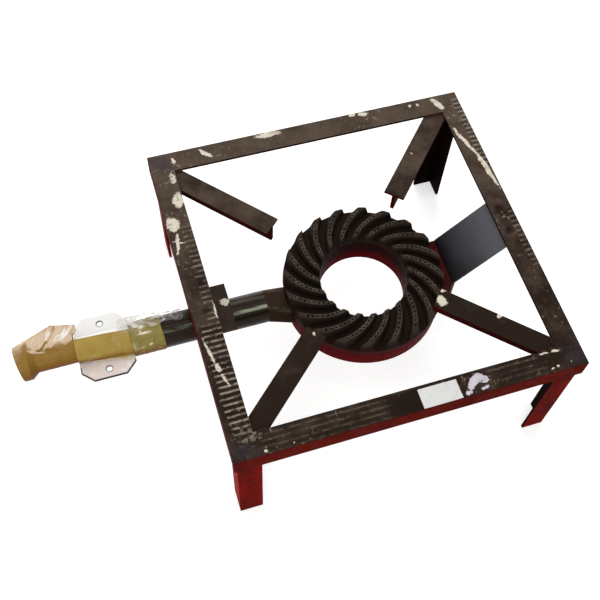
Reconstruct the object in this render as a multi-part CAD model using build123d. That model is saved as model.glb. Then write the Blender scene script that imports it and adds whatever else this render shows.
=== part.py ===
"""A gas burner stove: an angle-iron stand that carries a ring burner on its mixer tube.

The stand is square and +X points away from the mixer's air mouth. The model is drawn about the
middle of the stand, on the floor, and each piece is moved as it is written, so that the origin
lies on the floor under the middle of the whole stove.
"""
from build123d import *
import os
from math import cos, radians, sin, sqrt

# Stand, in millimetres
STAND_SIDE = 365.0          # outside of the square frame
STAND_HEIGHT = 166.0        # floor to the top of the frame
ANGLE_WIDTH = 25.0          # both flanges of the angle iron
ANGLE_WALL = 3.0
HEEL_RADIUS = 0.8           # rounded outer corner of the angle iron

# Pot supports, T-section, cut and welded by hand: lengths, turns and places differ a little
SUPPORT_WIDTH = 23.0
SUPPORT_FLANGE = 3.0
SUPPORT_DEPTH = 25.0
SUPPORT_WEB = 4.0
SUPPORT_EDGE = 0.6          # rounded top edges
SUPPORT_GAP = 1.0           # outer end to the legs
BACK_RIGHT_END = 90.7       # inner ends, from the middle of the stand
BACK_LEFT_END = 95.6
FRONT_LEFT_END = 98.6
FRONT_RIGHT_END = 94.0
BACK_RIGHT_TURN = 2.6       # degrees off the diagonal, counter-clockwise
BACK_LEFT_TURN = -2.2
FRONT_LEFT_TURN = -2.0
FRONT_RIGHT_TURN = 1.2
BACK_RIGHT_SHIFT = -4.4     # centre line off the middle of the stand, to its left seen from there
BACK_LEFT_SHIFT = 13.8
FRONT_LEFT_SHIFT = 6.8
FRONT_RIGHT_SHIFT = -5.6

# Burner body, a cast trough
BURNER_SHIFT = 11.7         # burner's axis, to the right of the stand's middle
CREST_DROP = 43.0           # top of the frame down to the rib crests
BODY_OUTER_R = 87.0
BODY_INNER_R = 48.0
BODY_HEIGHT = 33.0
BODY_WALL = 4.0
BODY_FLOOR = 4.0
BODY_EDGE = 1.5             # chamfer round the bottom

# Burner head, ribs and gas ports
HEAD_HEIGHT = 12.0          # seat to rib crest
HEAD_PLATE = 3.5            # seat to groove floor
SKIRT_DROP = 5.0            # how far the skirt hangs over the body
SKIRT_WALL = 1.3
SKIRT_GAP = 0.4             # skirt to body, and to the inlet neck
RIB_COUNT = 20
RIB_OVERHANG = 1.0          # outer rib ends, out from the body's edge
RIB_TRIM = 2.0              # ribs are drawn past both ends by this and trimmed
RIB_HOLE_INSET = 0.4        # inner rib ends, in from the hole
RIB_TWIST = 30.0            # degrees that a rib turns between its ends
RIB_CREST = 6.0             # degrees wide at the top
RIB_ROOT = 14.0             # degrees wide at its foot, inside the plate
CREST_FALL = 1.0            # how far the crest falls at the rib's ends
CREST_RUN = 2.0             # length of that fall
PORT_COUNT = 8              # along each rib
PORT_R = 1.1
PORT_MARGIN = 2.0           # nearest port to the trough's walls

# Inlet neck and mixer tube
AXIS_BELOW_SEAT = 5.0       # mixer axis, below the head's seat
NECK_LENGTH = 25.0          # tube end to the body
NECK_HALF_WIDTH = 22.0
NECK_MARGIN = 1.0           # neck's top and bottom, in from the body's
PASSAGE_HALF_WIDTH = 15.0
PASSAGE_HALF_HEIGHT = 9.0
TUBE_R = 17.5
TUBE_WALL = 3.0
SPIGOT_LENGTH = 15.0
SPIGOT_WALL = 2.5
SPIGOT_GAP = 0.05           # spigots to the tube's bore

# Strap on the right, bracket on the left, both of flat bar
FLAT_WALL = 3.0
FLAT_BEND = 5.0             # bend radius at mid thickness
STRAP_WIDTH = 58.0
STRAP_TAB = 16.0            # under the right bar
STRAP_FOOT = 25.0           # on the burner's pad
FOOT_RISE = 2.0             # strap's lower end, above the burner's bottom
PAD_PROUD = 9.0             # flat pad beyond the body's round wall
BRACKET_WIDTH = 56.0
BRACKET_FOOT = 41.5         # from the left bar's inner face along the tube

# Strap bolts
BOLT_R = 3.0
BOLT_GAP = 0.05             # in the pad's thread
BOLT_HOLE_GAP = 0.4         # in strap and washers
BOLT_GRIP = 6.0             # thread in the pad
BOLT_TIP_ROOM = 0.5         # hole below the bolt's end
BOLT_SPACING = 30.0
BOLT_RISE = 10.0            # above the strap's lower end
BOLT_HEAD_FLATS = 10.0
BOLT_HEAD_HEIGHT = 4.0
WASHER_R = 6.2
WASHER_WALL = 1.6

# Venturi horn, measured from its air mouth
MOUTH_REACH = 175.5         # left face of the stand to the mouth
HORN_LENGTH = 115.0         # mouth to tube end
HORN_RISE = 5.5             # its axis above the tube's axis
LIP_R = 17.0
LIP_LAND = 7.0
FLARE_END = 17.0
NECK_R = 11.2
REDUCER_R = 14.0            # where the widened neck meets the collar
COLLAR_WALL = 3.0           # collar against the tube's end
POCKET_R = 15.0
POCKET_DEPTH = 7.5
BELL_R = 11.5
THROAT_R = 8.0
THROAT_START = 40.0
THROAT_END = 60.0
HORN_SPIGOT = 20.0
HORN_SPIGOT_WALL = 2.5

# Jet, its plate and the air shutter
PLATE_WALL = 1.5
PLATE_GAP = 0.05            # plate to pocket
SHUTTER_WALL = 1.1
SHUTTER_GAP = 0.3           # flat faces beside the shutter
SHUTTER_EDGE_GAP = 0.4      # shutter to pocket
JOURNAL_R = 6.6
JOURNAL_GAP = 0.08          # running fit of the shutter
SHANK_R = 6.0
SHANK_GAP = 0.05
WINDOW_INNER_R = 8.0
WINDOW_OUTER_R = 11.5
WINDOW_ANGLE = 80.0         # degrees, each of two
TAB_WIDTH = 5.0
TAB_WALL = 1.2
TAB_LENGTH = 3.4
HEX_FLATS = 15.0
JET_HEAD = 4.0
JET_TAIL = 1.5              # thread past the nut
NUT_HEIGHT = 4.0
INLET_R = 4.28
INLET_DEPTH = 10.0
GAS_WAY_R = 2.0
NOSE_LENGTH = 11.0
NOSE_BASE_R = 5.0
NOSE_TIP_R = 2.5
ORIFICE_R = 0.6
ORIFICE_LENGTH = 3.0

# Two-hole saddle plate and the packing tape
SADDLE_LENGTH = 57.0
SADDLE_WIDTH = 74.0
SADDLE_WALL = 2.0
SADDLE_GAP = 0.05           # saddle to neck
SADDLE_CORNER = 11.5
SADDLE_HOLE_R = 3.0
SADDLE_HOLE_SPACING = 54.0
TAPE_WALL = 0.8
TAPE_GAP = 0.05
TAPE_RISE = 5.0             # underside of the ears to the edges of the tape on the saddle
TUBE_TAPE_LENGTH = 30.0

# Places that follow from the sizes above
HALF = STAND_SIDE / 2
FLANGE_UNDERSIDE = STAND_HEIGHT - ANGLE_WALL
BAR_INNER_FACE = HALF - ANGLE_WALL
SEAT_Z = STAND_HEIGHT - CREST_DROP - HEAD_HEIGHT
BASE_Z = SEAT_Z - BODY_HEIGHT
AXIS_Z = SEAT_Z - AXIS_BELOW_SEAT
TROUGH_INNER_R = BODY_INNER_R + BODY_WALL
TROUGH_OUTER_R = BODY_OUTER_R - BODY_WALL
RIB_INNER_R = BODY_INNER_R + RIB_HOLE_INSET
RIB_OUTER_R = BODY_OUTER_R + RIB_OVERHANG
SKIRT_R = BODY_OUTER_R + SKIRT_GAP
HEAD_EDGE_R = SKIRT_R + SKIRT_WALL
TUBE_BORE_R = TUBE_R - TUBE_WALL
SPIGOT_R = TUBE_BORE_R - SPIGOT_GAP
HORN_Z = AXIS_Z + HORN_RISE
MOUTH_X = -HALF - MOUTH_REACH
HORN_END_X = MOUTH_X + HORN_LENGTH
NECK_END_X = BURNER_SHIFT - BODY_OUTER_R - NECK_LENGTH
PAD_X = BURNER_SHIFT + BODY_OUTER_R + PAD_PROUD
STRAP_END_Z = BASE_Z + FOOT_RISE
BOLT_Z = STRAP_END_Z + BOLT_RISE
SADDLE_END = HORN_LENGTH - COLLAR_WALL
SADDLE_START = SADDLE_END - SADDLE_LENGTH
SHUTTER_BACK = POCKET_DEPTH - PLATE_WALL - SHUTTER_GAP
SHUTTER_FRONT = SHUTTER_BACK - SHUTTER_WALL
JET_HEAD_BACK = SHUTTER_FRONT - SHUTTER_GAP
JET_HEAD_FRONT = JET_HEAD_BACK - JET_HEAD
NUT_BACK = POCKET_DEPTH + NUT_HEIGHT
SHANK_END = NUT_BACK + JET_TAIL
NOSE_END = SHANK_END + NOSE_LENGTH


def write(name, shape):
    """Write one piece, with the origin under the middle of the whole stove."""
    export_step(Pos(MOUTH_REACH / 2, 0, 0) * shape, f"parts/{name}.step")


def polygon(*points):
    """Flat face with straight sides."""
    return make_face(Polyline(*points, close=True))


# Frame, legs and pot supports


def mitred_strip(width, depth):
    """Strip along the front of the frame, hanging from its top, with 45 degree ends."""
    inner = HALF - width
    plan = polygon((-HALF, -HALF), (HALF, -HALF), (inner, -inner), (-inner, -inner))
    return Pos(0, 0, STAND_HEIGHT) * extrude(plan, depth, dir=(0, 0, -1))


def frame_bar():
    """Front bar: angle iron with its heel outwards and up."""
    bar = mitred_strip(ANGLE_WIDTH, ANGLE_WALL) + mitred_strip(ANGLE_WALL, ANGLE_WIDTH)
    heel = bar.edges().filter_by(Axis.X).group_by(Axis.Z)[-1].sort_by(Axis.Y)[0]
    return fillet(heel, HEEL_RADIUS)


def frame_leg():
    """Front left leg: angle iron nested inside the two bars that meet there."""
    heel = -BAR_INNER_FACE
    inside = heel + ANGLE_WALL
    toe = heel + ANGLE_WIDTH
    plan = polygon((heel, heel), (toe, heel), (toe, inside), (inside, inside), (inside, toe), (heel, toe))
    leg = extrude(plan, FLANGE_UNDERSIDE, dir=(0, 0, 1))
    outer_edge = leg.edges().filter_by(Axis.Z).sort_by(lambda edge: edge.center().X + edge.center().Y)[0]
    return fillet(outer_edge, HEEL_RADIUS)


def pot_support(inner_end, turn, shift):
    """T-section in the back right quarter, its flat top against the underside of the frame's top flange.

    It runs outwards until one corner of its outer end is near a leg.
    """
    bearing = radians(45 + turn)
    clear = BAR_INNER_FACE - ANGLE_WALL - SUPPORT_GAP
    right_limit = (clear + (shift - SUPPORT_WIDTH / 2) * sin(bearing)) / cos(bearing)
    back_limit = (clear - (shift + SUPPORT_WIDTH / 2) * cos(bearing)) / sin(bearing)
    outer_end = min(right_limit, back_limit)
    top_middle = (Align.CENTER, Align.MAX)
    flange = Rectangle(SUPPORT_WIDTH, SUPPORT_FLANGE, align=top_middle)
    web = Rectangle(SUPPORT_WEB, SUPPORT_DEPTH, align=top_middle)
    bar = extrude(Plane.YZ * (flange + web), outer_end - inner_end)
    top_edges = bar.edges().filter_by(Axis.X).group_by(Axis.Z)[-1]
    return Rot(0, 0, 45 + turn) * Pos(inner_end, shift, FLANGE_UNDERSIDE) * fillet(top_edges, SUPPORT_EDGE)


def write_stand():
    """The welded stand: four bars, four legs, four supports."""
    bar = frame_bar()
    leg = frame_leg()
    bar_names = ("front_bar", "right_bar", "back_bar", "left_bar")
    leg_names = ("front_left_leg", "front_right_leg", "back_right_leg", "back_left_leg")
    for quarter in range(4):
        turn = Rot(0, 0, 90 * quarter)
        write(bar_names[quarter], turn * bar)
        write(leg_names[quarter], turn * leg)
    places = {
        "back_right_support": (BACK_RIGHT_END, BACK_RIGHT_TURN, BACK_RIGHT_SHIFT),
        "back_left_support": (BACK_LEFT_END, BACK_LEFT_TURN, BACK_LEFT_SHIFT),
        "front_left_support": (FRONT_LEFT_END, FRONT_LEFT_TURN, FRONT_LEFT_SHIFT),
        "front_right_support": (FRONT_RIGHT_END, FRONT_RIGHT_TURN, FRONT_RIGHT_SHIFT),
    }
    for quarter, (name, place) in enumerate(places.items()):
        write(name, Rot(0, 0, 90 * quarter) * pot_support(*place))


# Burner


def ring(inner, outer, bottom, top):
    """Plain ring about the burner's axis."""
    return Pos(BURNER_SHIFT, 0, bottom) * extrude(Circle(outer) - Circle(inner), top - bottom)


def across_mixer(x, z):
    """Plane square to the mixer's axis."""
    return Plane(origin=(x, 0, z), x_dir=(0, 1, 0), z_dir=(1, 0, 0))


def inlet_taper(tube_r, half_width, half_height, wall_r):
    """Taper from a circle at the tube's end to an ellipse at a radius of the body."""
    at_tube = across_mixer(NECK_END_X, AXIS_Z) * Circle(tube_r)
    at_body = across_mixer(BURNER_SHIFT - wall_r, (BASE_Z + SEAT_Z) / 2) * Ellipse(half_width, half_height)
    return loft([at_tube, at_body])


def rod(radius, start, length, y=0.0, z=AXIS_Z):
    """Round bar along +X."""
    return extrude(Plane(origin=(start, y, z), x_dir=(0, 1, 0), z_dir=(1, 0, 0)) * Circle(radius), length)


def bolt_places():
    """Positions of the strap bolts across the strap."""
    return (-BOLT_SPACING / 2, BOLT_SPACING / 2)


def burner_body():
    """Ring trough with a flat seat, the inlet neck, its spigot for the tube, and the pad for the strap."""
    body = ring(BODY_INNER_R, BODY_OUTER_R, BASE_Z, SEAT_Z)
    body = chamfer(body.edges().group_by(Axis.Z)[0], BODY_EDGE)
    joint_r = sqrt(BODY_OUTER_R**2 - NECK_HALF_WIDTH**2) - BODY_WALL / 3
    body += inlet_taper(TUBE_R, NECK_HALF_WIDTH, BODY_HEIGHT / 2 - NECK_MARGIN, joint_r)
    body += rod(SPIGOT_R, NECK_END_X - SPIGOT_LENGTH, SPIGOT_LENGTH)
    pad_start = TROUGH_OUTER_R - BODY_WALL
    pad = Box(PAD_X - BURNER_SHIFT - pad_start, STRAP_WIDTH, FOOT_RISE + STRAP_FOOT, align=Align.MIN)
    body += Pos(BURNER_SHIFT + pad_start, -STRAP_WIDTH / 2, BASE_Z) * pad
    body -= ring(TROUGH_INNER_R, TROUGH_OUTER_R, BASE_Z + BODY_FLOOR, SEAT_Z)
    body -= ring(TROUGH_INNER_R, HEAD_EDGE_R + SKIRT_GAP, SEAT_Z, SEAT_Z + HEAD_HEIGHT)
    passage_r = SPIGOT_R - SPIGOT_WALL
    body -= inlet_taper(passage_r, PASSAGE_HALF_WIDTH, PASSAGE_HALF_HEIGHT, TROUGH_OUTER_R - 2 * BODY_WALL)
    body -= rod(passage_r, NECK_END_X - SPIGOT_LENGTH, SPIGOT_LENGTH)
    hole_depth = BOLT_GRIP + BOLT_TIP_ROOM
    body -= [rod(BOLT_R, PAD_X - hole_depth, hole_depth, y, BOLT_Z) for y in bolt_places()]
    return body


def on_circle(radius, degrees):
    """Point of a circle about the burner's axis."""
    return (radius * cos(radians(degrees)), radius * sin(radians(degrees)))


def rib_turn(radius):
    """Degrees that a rib has turned at a radius: none at its outer end, all of it at its inner end."""
    return RIB_TWIST * (RIB_OUTER_R - radius) / (RIB_OUTER_R - RIB_INNER_R)


def rib_plan(width):
    """Plan of one rib, width degrees wide, drawn past both ends."""
    radii = (RIB_OUTER_R + RIB_TRIM, (RIB_OUTER_R + RIB_INNER_R) / 2, RIB_INNER_R - RIB_TRIM)
    leading = [on_circle(radius, rib_turn(radius) + width / 2) for radius in radii]
    trailing = [on_circle(radius, rib_turn(radius) - width / 2) for radius in radii]
    sides = [ThreePointArc(*leading), Line(leading[-1], trailing[-1])]
    sides += [ThreePointArc(*reversed(trailing)), Line(trailing[0], leading[0])]
    return make_face(sides)


def crest_envelope():
    """Solid of revolution that trims the ribs' ends and lets their crests fall there."""
    low = HEAD_HEIGHT - CREST_FALL
    profile = polygon(
        (RIB_INNER_R, 0),
        (RIB_INNER_R, low),
        (RIB_INNER_R + CREST_RUN, HEAD_HEIGHT),
        (RIB_OUTER_R - CREST_RUN, HEAD_HEIGHT),
        (RIB_OUTER_R, low),
        (RIB_OUTER_R, 0),
    )
    return revolve(Plane.XZ * profile, Axis.Z)


def neck_notch():
    """What is cut from the skirt, so that the head lifts off past the inlet neck."""
    half_width = NECK_HALF_WIDTH + SKIRT_GAP
    return Box(2 * HEAD_EDGE_R, 2 * half_width, 2 * SKIRT_DROP, align=(Align.MAX, Align.CENTER, Align.MAX))


def head_disc():
    """Flat ring of the head with a sloping edge, and its skirt, which hangs outside the body's wall."""
    profile = polygon(
        (BODY_INNER_R, 0),
        (SKIRT_R, 0),
        (SKIRT_R, -SKIRT_DROP),
        (HEAD_EDGE_R, -SKIRT_DROP),
        (HEAD_EDGE_R, 0),
        (RIB_OUTER_R, HEAD_PLATE),
        (BODY_INNER_R, HEAD_PLATE),
    )
    return revolve(Plane.XZ * profile, Axis.Z) - neck_notch()


def burner_head():
    """Ribbed head: spiral ribs on the disc, drilled with a row of ports along each crest."""
    bottom = Pos(0, 0, HEAD_PLATE / 2) * rib_plan(RIB_ROOT)
    top = Pos(0, 0, HEAD_HEIGHT) * rib_plan(RIB_CREST)
    rib = loft([bottom, top]) & crest_envelope()
    first = TROUGH_INNER_R + PORT_MARGIN
    step = (TROUGH_OUTER_R - PORT_MARGIN - first) / (PORT_COUNT - 1)
    port = Cylinder(PORT_R, 3 * HEAD_HEIGHT)
    turns = [360 / RIB_COUNT * index for index in range(RIB_COUNT)]
    head = head_disc() + [Rot(0, 0, turn) * rib for turn in turns]
    ports = []
    for turn in turns:
        for radius in [first + step * index for index in range(PORT_COUNT)]:
            ports.append(Pos(*on_circle(radius, turn + rib_turn(radius))) * port)
    return Pos(BURNER_SHIFT, 0, SEAT_Z) * (head - ports)


# Strap, bracket and strap bolts


def bent_flat(width, points):
    """Flat bar bent along points of the XZ plane at mid thickness."""
    path = FilletPolyline(*[(x, 0, z) for x, z in points], radius=FLAT_BEND)
    section = Plane(origin=path @ 0, x_dir=(0, 1, 0), z_dir=path % 0) * Rectangle(width, FLAT_WALL)
    return sweep(section, path=path)


def burner_strap():
    """Strap from under the right bar, down a slope, to the pad on the burner."""
    middle = FLAT_WALL / 2
    tab_z = FLANGE_UNDERSIDE - middle
    foot_x = PAD_X + middle
    strap = bent_flat(STRAP_WIDTH, [
        (BAR_INNER_FACE, tab_z),
        (BAR_INNER_FACE - STRAP_TAB, tab_z),
        (foot_x, STRAP_END_Z + STRAP_FOOT),
        (foot_x, STRAP_END_Z),
    ])
    return strap - [rod(BOLT_R + BOLT_HOLE_GAP, PAD_X, FLAT_WALL, y, BOLT_Z) for y in bolt_places()]


def tube_bracket():
    """Bracket on the left bar's inner face, with its foot along the top of the tube."""
    middle = FLAT_WALL / 2
    wall_x = -BAR_INNER_FACE + middle
    foot_z = AXIS_Z + TUBE_R + middle
    return bent_flat(BRACKET_WIDTH, [
        (wall_x, FLANGE_UNDERSIDE),
        (wall_x, foot_z),
        (-BAR_INNER_FACE + BRACKET_FOOT, foot_z),
    ])


def hexagon(flats):
    """Hexagon with two flats square to its local Y axis."""
    return RegularPolygon(flats / 2, 6, major_radius=False)


def strap_bolt(y):
    """Hex bolt through washer and strap into the pad."""
    head_x = PAD_X + FLAT_WALL + WASHER_WALL
    head_plane = Plane(origin=(head_x, y, BOLT_Z), x_dir=(0, 1, 0), z_dir=(1, 0, 0))
    head = extrude(head_plane * hexagon(BOLT_HEAD_FLATS), BOLT_HEAD_HEIGHT)
    shank_length = WASHER_WALL + FLAT_WALL + BOLT_GRIP
    return head + rod(BOLT_R - BOLT_GAP, head_x - shank_length, shank_length, y, BOLT_Z)


def strap_washer(y):
    """Washer between strap and bolt head."""
    start = PAD_X + FLAT_WALL
    disc = rod(WASHER_R, start, WASHER_WALL, y, BOLT_Z)
    return disc - rod(BOLT_R + BOLT_HOLE_GAP, start, WASHER_WALL, y, BOLT_Z)


# Mixer: tube, horn, saddle and tape, with x measured from the air mouth


def at_mouth(shape):
    """Put a shape drawn along +X from the origin onto the horn's axis at its mouth."""
    return Pos(MOUTH_X, 0, HORN_Z) * shape


def turned(outline):
    """Solid of revolution about the horn's axis, from a face with x along it and y outwards."""
    return at_mouth(revolve(outline, Axis.X))


def mixer_tube():
    """Plain pipe between the horn and the burner's neck."""
    length = NECK_END_X - HORN_END_X
    return rod(TUBE_R, HORN_END_X, length) - rod(TUBE_BORE_R, HORN_END_X, length)


def reducer(margin=0.0):
    """Lopsided cone from the horn's neck down to the tube's axis, with a margin all round it."""
    at_neck = across_mixer(MOUTH_X + SADDLE_START, HORN_Z) * Circle(NECK_R + margin)
    at_collar = across_mixer(MOUTH_X + SADDLE_END, AXIS_Z) * Circle(REDUCER_R + margin)
    return loft([at_neck, at_collar])


def horn_bore():
    """Jet pocket, bell and throat, then a cone that runs down to the tube's axis."""
    bell = [
        Polyline((THROAT_END, 0), (0, 0), (0, POCKET_R), (POCKET_DEPTH, POCKET_R), (POCKET_DEPTH, BELL_R)),
        TangentArc((THROAT_START, THROAT_R), (POCKET_DEPTH, BELL_R), tangent=(-1, 0)),
        Polyline((THROAT_START, THROAT_R), (THROAT_END, THROAT_R), (THROAT_END, 0)),
    ]
    at_throat = across_mixer(MOUTH_X + THROAT_END, HORN_Z) * Circle(THROAT_R)
    at_end = across_mixer(HORN_END_X + HORN_SPIGOT, AXIS_Z) * Circle(SPIGOT_R - HORN_SPIGOT_WALL)
    return turned(make_face([edge for line in bell for edge in line.edges()])) + loft([at_throat, at_end])


def venturi_horn():
    """Horn with its flared lip and narrow neck, then a lopsided cone to the collar and spigot on the tube's axis."""
    outline = [
        Polyline((0, LIP_R), (0, 0), (SADDLE_START, 0), (SADDLE_START, NECK_R), (FLARE_END, NECK_R)),
        TangentArc((FLARE_END, NECK_R), (LIP_LAND, LIP_R), tangent=(-1, 0)),
        Polyline((LIP_LAND, LIP_R), (0, LIP_R)),
    ]
    horn = turned(make_face([edge for line in outline for edge in line.edges()])) + reducer()
    horn += rod(TUBE_R, MOUTH_X + SADDLE_END, COLLAR_WALL)
    horn += rod(SPIGOT_R, HORN_END_X, HORN_SPIGOT)
    return horn - horn_bore()


def saddle_plate():
    """Two-hole plate with a hump pressed over the horn's cone, and chamfered ears."""
    ears = Rectangle(SADDLE_LENGTH, SADDLE_WIDTH)
    ears = extrude(chamfer(ears.vertices(), SADDLE_CORNER), SADDLE_WALL)
    hole = Cylinder(SADDLE_HOLE_R, SADDLE_WALL, align=(Align.CENTER, Align.CENTER, Align.MIN))
    ears -= [Pos(0, side * SADDLE_HOLE_SPACING / 2, 0) * hole for side in (-1, 1)]
    plate = Pos(MOUTH_X + (SADDLE_START + SADDLE_END) / 2, 0, AXIS_Z) * ears
    plate += reducer(SADDLE_GAP + SADDLE_WALL) - below_ears()
    return plate - reducer(SADDLE_GAP)


def below_ears():
    """Room under the plane of the plate's ears."""
    room = Box(SADDLE_LENGTH, SADDLE_WIDTH, SADDLE_WIDTH, align=(Align.MIN, Align.CENTER, Align.MAX))
    return Pos(MOUTH_X + SADDLE_START, 0, AXIS_Z) * room


def mouth_tape():
    """Tape round the horn's lip and neck, up to the saddle."""
    lip = LIP_R + TAPE_GAP
    neck = NECK_R + TAPE_GAP
    end = SADDLE_START - TAPE_GAP
    return turned(polygon(
        (0, lip),
        (LIP_LAND, lip),
        (FLARE_END, neck),
        (end, neck),
        (end, neck + TAPE_WALL),
        (FLARE_END, neck + TAPE_WALL),
        (LIP_LAND, lip + TAPE_WALL),
        (0, lip + TAPE_WALL),
    ))


def saddle_tape():
    """Strip of tape along the saddle's hump, clear of its ears."""
    inner = SADDLE_GAP + SADDLE_WALL + TAPE_GAP
    strip = reducer(inner + TAPE_WALL) - reducer(inner)
    return strip - Pos(0, 0, TAPE_RISE) * below_ears()


def tube_tape():
    """Band of tape round the horn's collar and the end of the tube."""
    inner_r = TUBE_R + TAPE_GAP
    length = COLLAR_WALL + TUBE_TAPE_LENGTH
    start = MOUTH_X + SADDLE_END
    return rod(inner_r + TAPE_WALL, start, length) - rod(inner_r, start, length)


# Jet, its plate and nut, and the air shutter, all in the horn's pocket


def windows():
    """Two air windows, opposite each other above and below the axis."""
    spread = radians(WINDOW_ANGLE / 2)
    reach = 2 * WINDOW_OUTER_R
    side = (reach * sin(spread), reach * cos(spread))
    upper = polygon((0, 0), side, (-side[0], side[1]))
    lower = polygon((0, 0), (-side[0], -side[1]), (side[0], -side[1]))
    rim = Circle(WINDOW_OUTER_R) - Circle(WINDOW_INNER_R)
    return (rim & upper) + (rim & lower)


def mouth_disc(radius, hub_r, front, thickness):
    """Disc across the mouth with a hub hole and the two air windows."""
    disc = Circle(radius) - Circle(hub_r) - windows()
    return at_mouth(Pos(front, 0, 0) * extrude(Plane.YZ * disc, thickness))


def mouth_plate():
    """Fixed plate on the pocket's shoulder, which holds the jet."""
    return mouth_disc(POCKET_R - PLATE_GAP, SHANK_R + SHANK_GAP, POCKET_DEPTH - PLATE_WALL, PLATE_WALL)


def air_shutter():
    """Turning disc in front of the plate, with a finger tab at its edge."""
    radius = POCKET_R - SHUTTER_EDGE_GAP
    disc = mouth_disc(radius, JOURNAL_R + JOURNAL_GAP, SHUTTER_FRONT, SHUTTER_WALL)
    tab = Box(TAB_LENGTH + SHUTTER_WALL, TAB_WALL, TAB_WIDTH, align=(Align.MIN, Align.MAX, Align.CENTER))
    tab_y = sqrt(radius**2 - (TAB_WIDTH / 2) ** 2)
    return disc + at_mouth(Pos(SHUTTER_FRONT - TAB_LENGTH, tab_y, 0) * tab)


def hex_bar(front, back):
    """Hexagon bar on the mixer's axis, with flats above and below."""
    return at_mouth(Pos(front, 0, 0) * extrude(Plane.YZ * hexagon(HEX_FLATS), back - front))


def gas_jet():
    """Brass jet: hexagon head, journal for the shutter, threaded shank, nose, and its gas way."""
    plate_front = POCKET_DEPTH - PLATE_WALL
    body = turned(polygon(
        (JET_HEAD_FRONT, 0),
        (JET_HEAD_FRONT, JOURNAL_R),
        (plate_front, JOURNAL_R),
        (plate_front, SHANK_R),
        (SHANK_END, SHANK_R),
        (SHANK_END, NOSE_BASE_R),
        (NOSE_END, NOSE_TIP_R),
        (NOSE_END, 0),
    ))
    inlet_end = JET_HEAD_FRONT + INLET_DEPTH
    orifice_start = NOSE_END - ORIFICE_LENGTH
    gas_way = turned(polygon(
        (JET_HEAD_FRONT, 0),
        (JET_HEAD_FRONT, INLET_R),
        (inlet_end, INLET_R),
        (inlet_end, GAS_WAY_R),
        (orifice_start, GAS_WAY_R),
        (orifice_start, ORIFICE_R),
        (NOSE_END, ORIFICE_R),
        (NOSE_END, 0),
    ))
    return body + hex_bar(JET_HEAD_FRONT, JET_HEAD_BACK) - gas_way


def jet_nut():
    """Lock nut behind the plate."""
    bore = rod(SHANK_R + SHANK_GAP, MOUTH_X + POCKET_DEPTH, NUT_HEIGHT, z=HORN_Z)
    return hex_bar(POCKET_DEPTH, NUT_BACK) - bore


os.makedirs("parts", exist_ok=True)
write_stand()
write("burner_body", burner_body())
write("burner_head", burner_head())
write("burner_strap", burner_strap())
write("tube_bracket", tube_bracket())
write("strap_bolts", Compound(children=[strap_bolt(y) for y in bolt_places()]))
write("strap_washers", Compound(children=[strap_washer(y) for y in bolt_places()]))
write("mixer_tube", mixer_tube())
write("venturi_horn", venturi_horn())
write("saddle_plate", saddle_plate())
write("mouth_tape", mouth_tape())
write("saddle_tape", saddle_tape())
write("tube_tape", tube_tape())
write("mouth_plate", mouth_plate())
write("air_shutter", air_shutter())
write("gas_jet", gas_jet())
write("jet_nut", jet_nut())
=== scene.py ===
"""Looks of a gas burner stove around its packed model, laid out as a Blender add-on and run as a script.

Lengths are in metres, in the packed model's frame: the origin is on the floor under the middle of the
stove, +X points away from the mixer's air mouth and +Z is up. Screen colours are written from 0 to 255.
"""

from functools import reduce
from math import pi, radians

import bpy
import numpy as np
from bpy.props import FloatProperty, FloatVectorProperty, IntProperty, PointerProperty
from bpy.types import NodeSocket, Operator, Panel, PropertyGroup
from mathutils import Matrix, Vector


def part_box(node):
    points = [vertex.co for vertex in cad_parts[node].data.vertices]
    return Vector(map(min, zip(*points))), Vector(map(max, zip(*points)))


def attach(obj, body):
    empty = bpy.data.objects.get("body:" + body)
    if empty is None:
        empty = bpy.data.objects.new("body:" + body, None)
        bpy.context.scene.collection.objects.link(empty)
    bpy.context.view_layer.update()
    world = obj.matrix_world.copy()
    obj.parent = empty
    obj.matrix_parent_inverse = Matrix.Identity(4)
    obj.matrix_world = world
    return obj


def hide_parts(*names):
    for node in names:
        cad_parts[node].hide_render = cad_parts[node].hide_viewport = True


bl_info = {
    "name": "Gas burner stove",
    "version": (1, 0, 0),
    "blender": (4, 5, 0),
    "location": "View3D > Sidebar > Stove",
    "description": "Paint, casting, packing tape, paper and stage of a gas burner stove",
    "category": "Object",
}

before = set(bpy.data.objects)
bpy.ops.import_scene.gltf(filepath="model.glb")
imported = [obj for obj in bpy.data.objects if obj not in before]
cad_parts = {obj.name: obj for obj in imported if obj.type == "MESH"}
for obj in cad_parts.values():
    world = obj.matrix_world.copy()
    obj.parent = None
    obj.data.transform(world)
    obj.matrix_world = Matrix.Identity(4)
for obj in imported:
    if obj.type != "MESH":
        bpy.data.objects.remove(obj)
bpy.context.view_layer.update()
MM = 0.001

# Places that the packed model gives
BARS = ("front_bar", "back_bar", "left_bar", "right_bar")
CORNERS = ("front_left", "front_right", "back_left", "back_right")
STAND_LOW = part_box("left_bar")[0]
STAND_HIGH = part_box("right_bar")[1]
STAND_X = (STAND_LOW.x + STAND_HIGH.x) / 2
STAND_HALF = STAND_HIGH.y
BAR_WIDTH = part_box("left_bar")[1].x - STAND_LOW.x
BAR_BOTTOM = STAND_LOW.z
SUPPORT_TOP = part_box("front_left_support")[1].z
BAR_WALL = STAND_HIGH.z - SUPPORT_TOP
HEAD_LOW, HEAD_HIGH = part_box("burner_head")
HEAD_R = HEAD_HIGH.y
BURNER_X = HEAD_HIGH.x - HEAD_R
TUBE_LOW, TUBE_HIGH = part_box("mixer_tube")
AXIS_Z = (TUBE_LOW.z + TUBE_HIGH.z) / 2
TUBE_R = TUBE_HIGH.y
MOUTH_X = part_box("venturi_horn")[0].x
HORN_Z = (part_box("mouth_tape")[0].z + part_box("mouth_tape")[1].z) / 2
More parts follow.
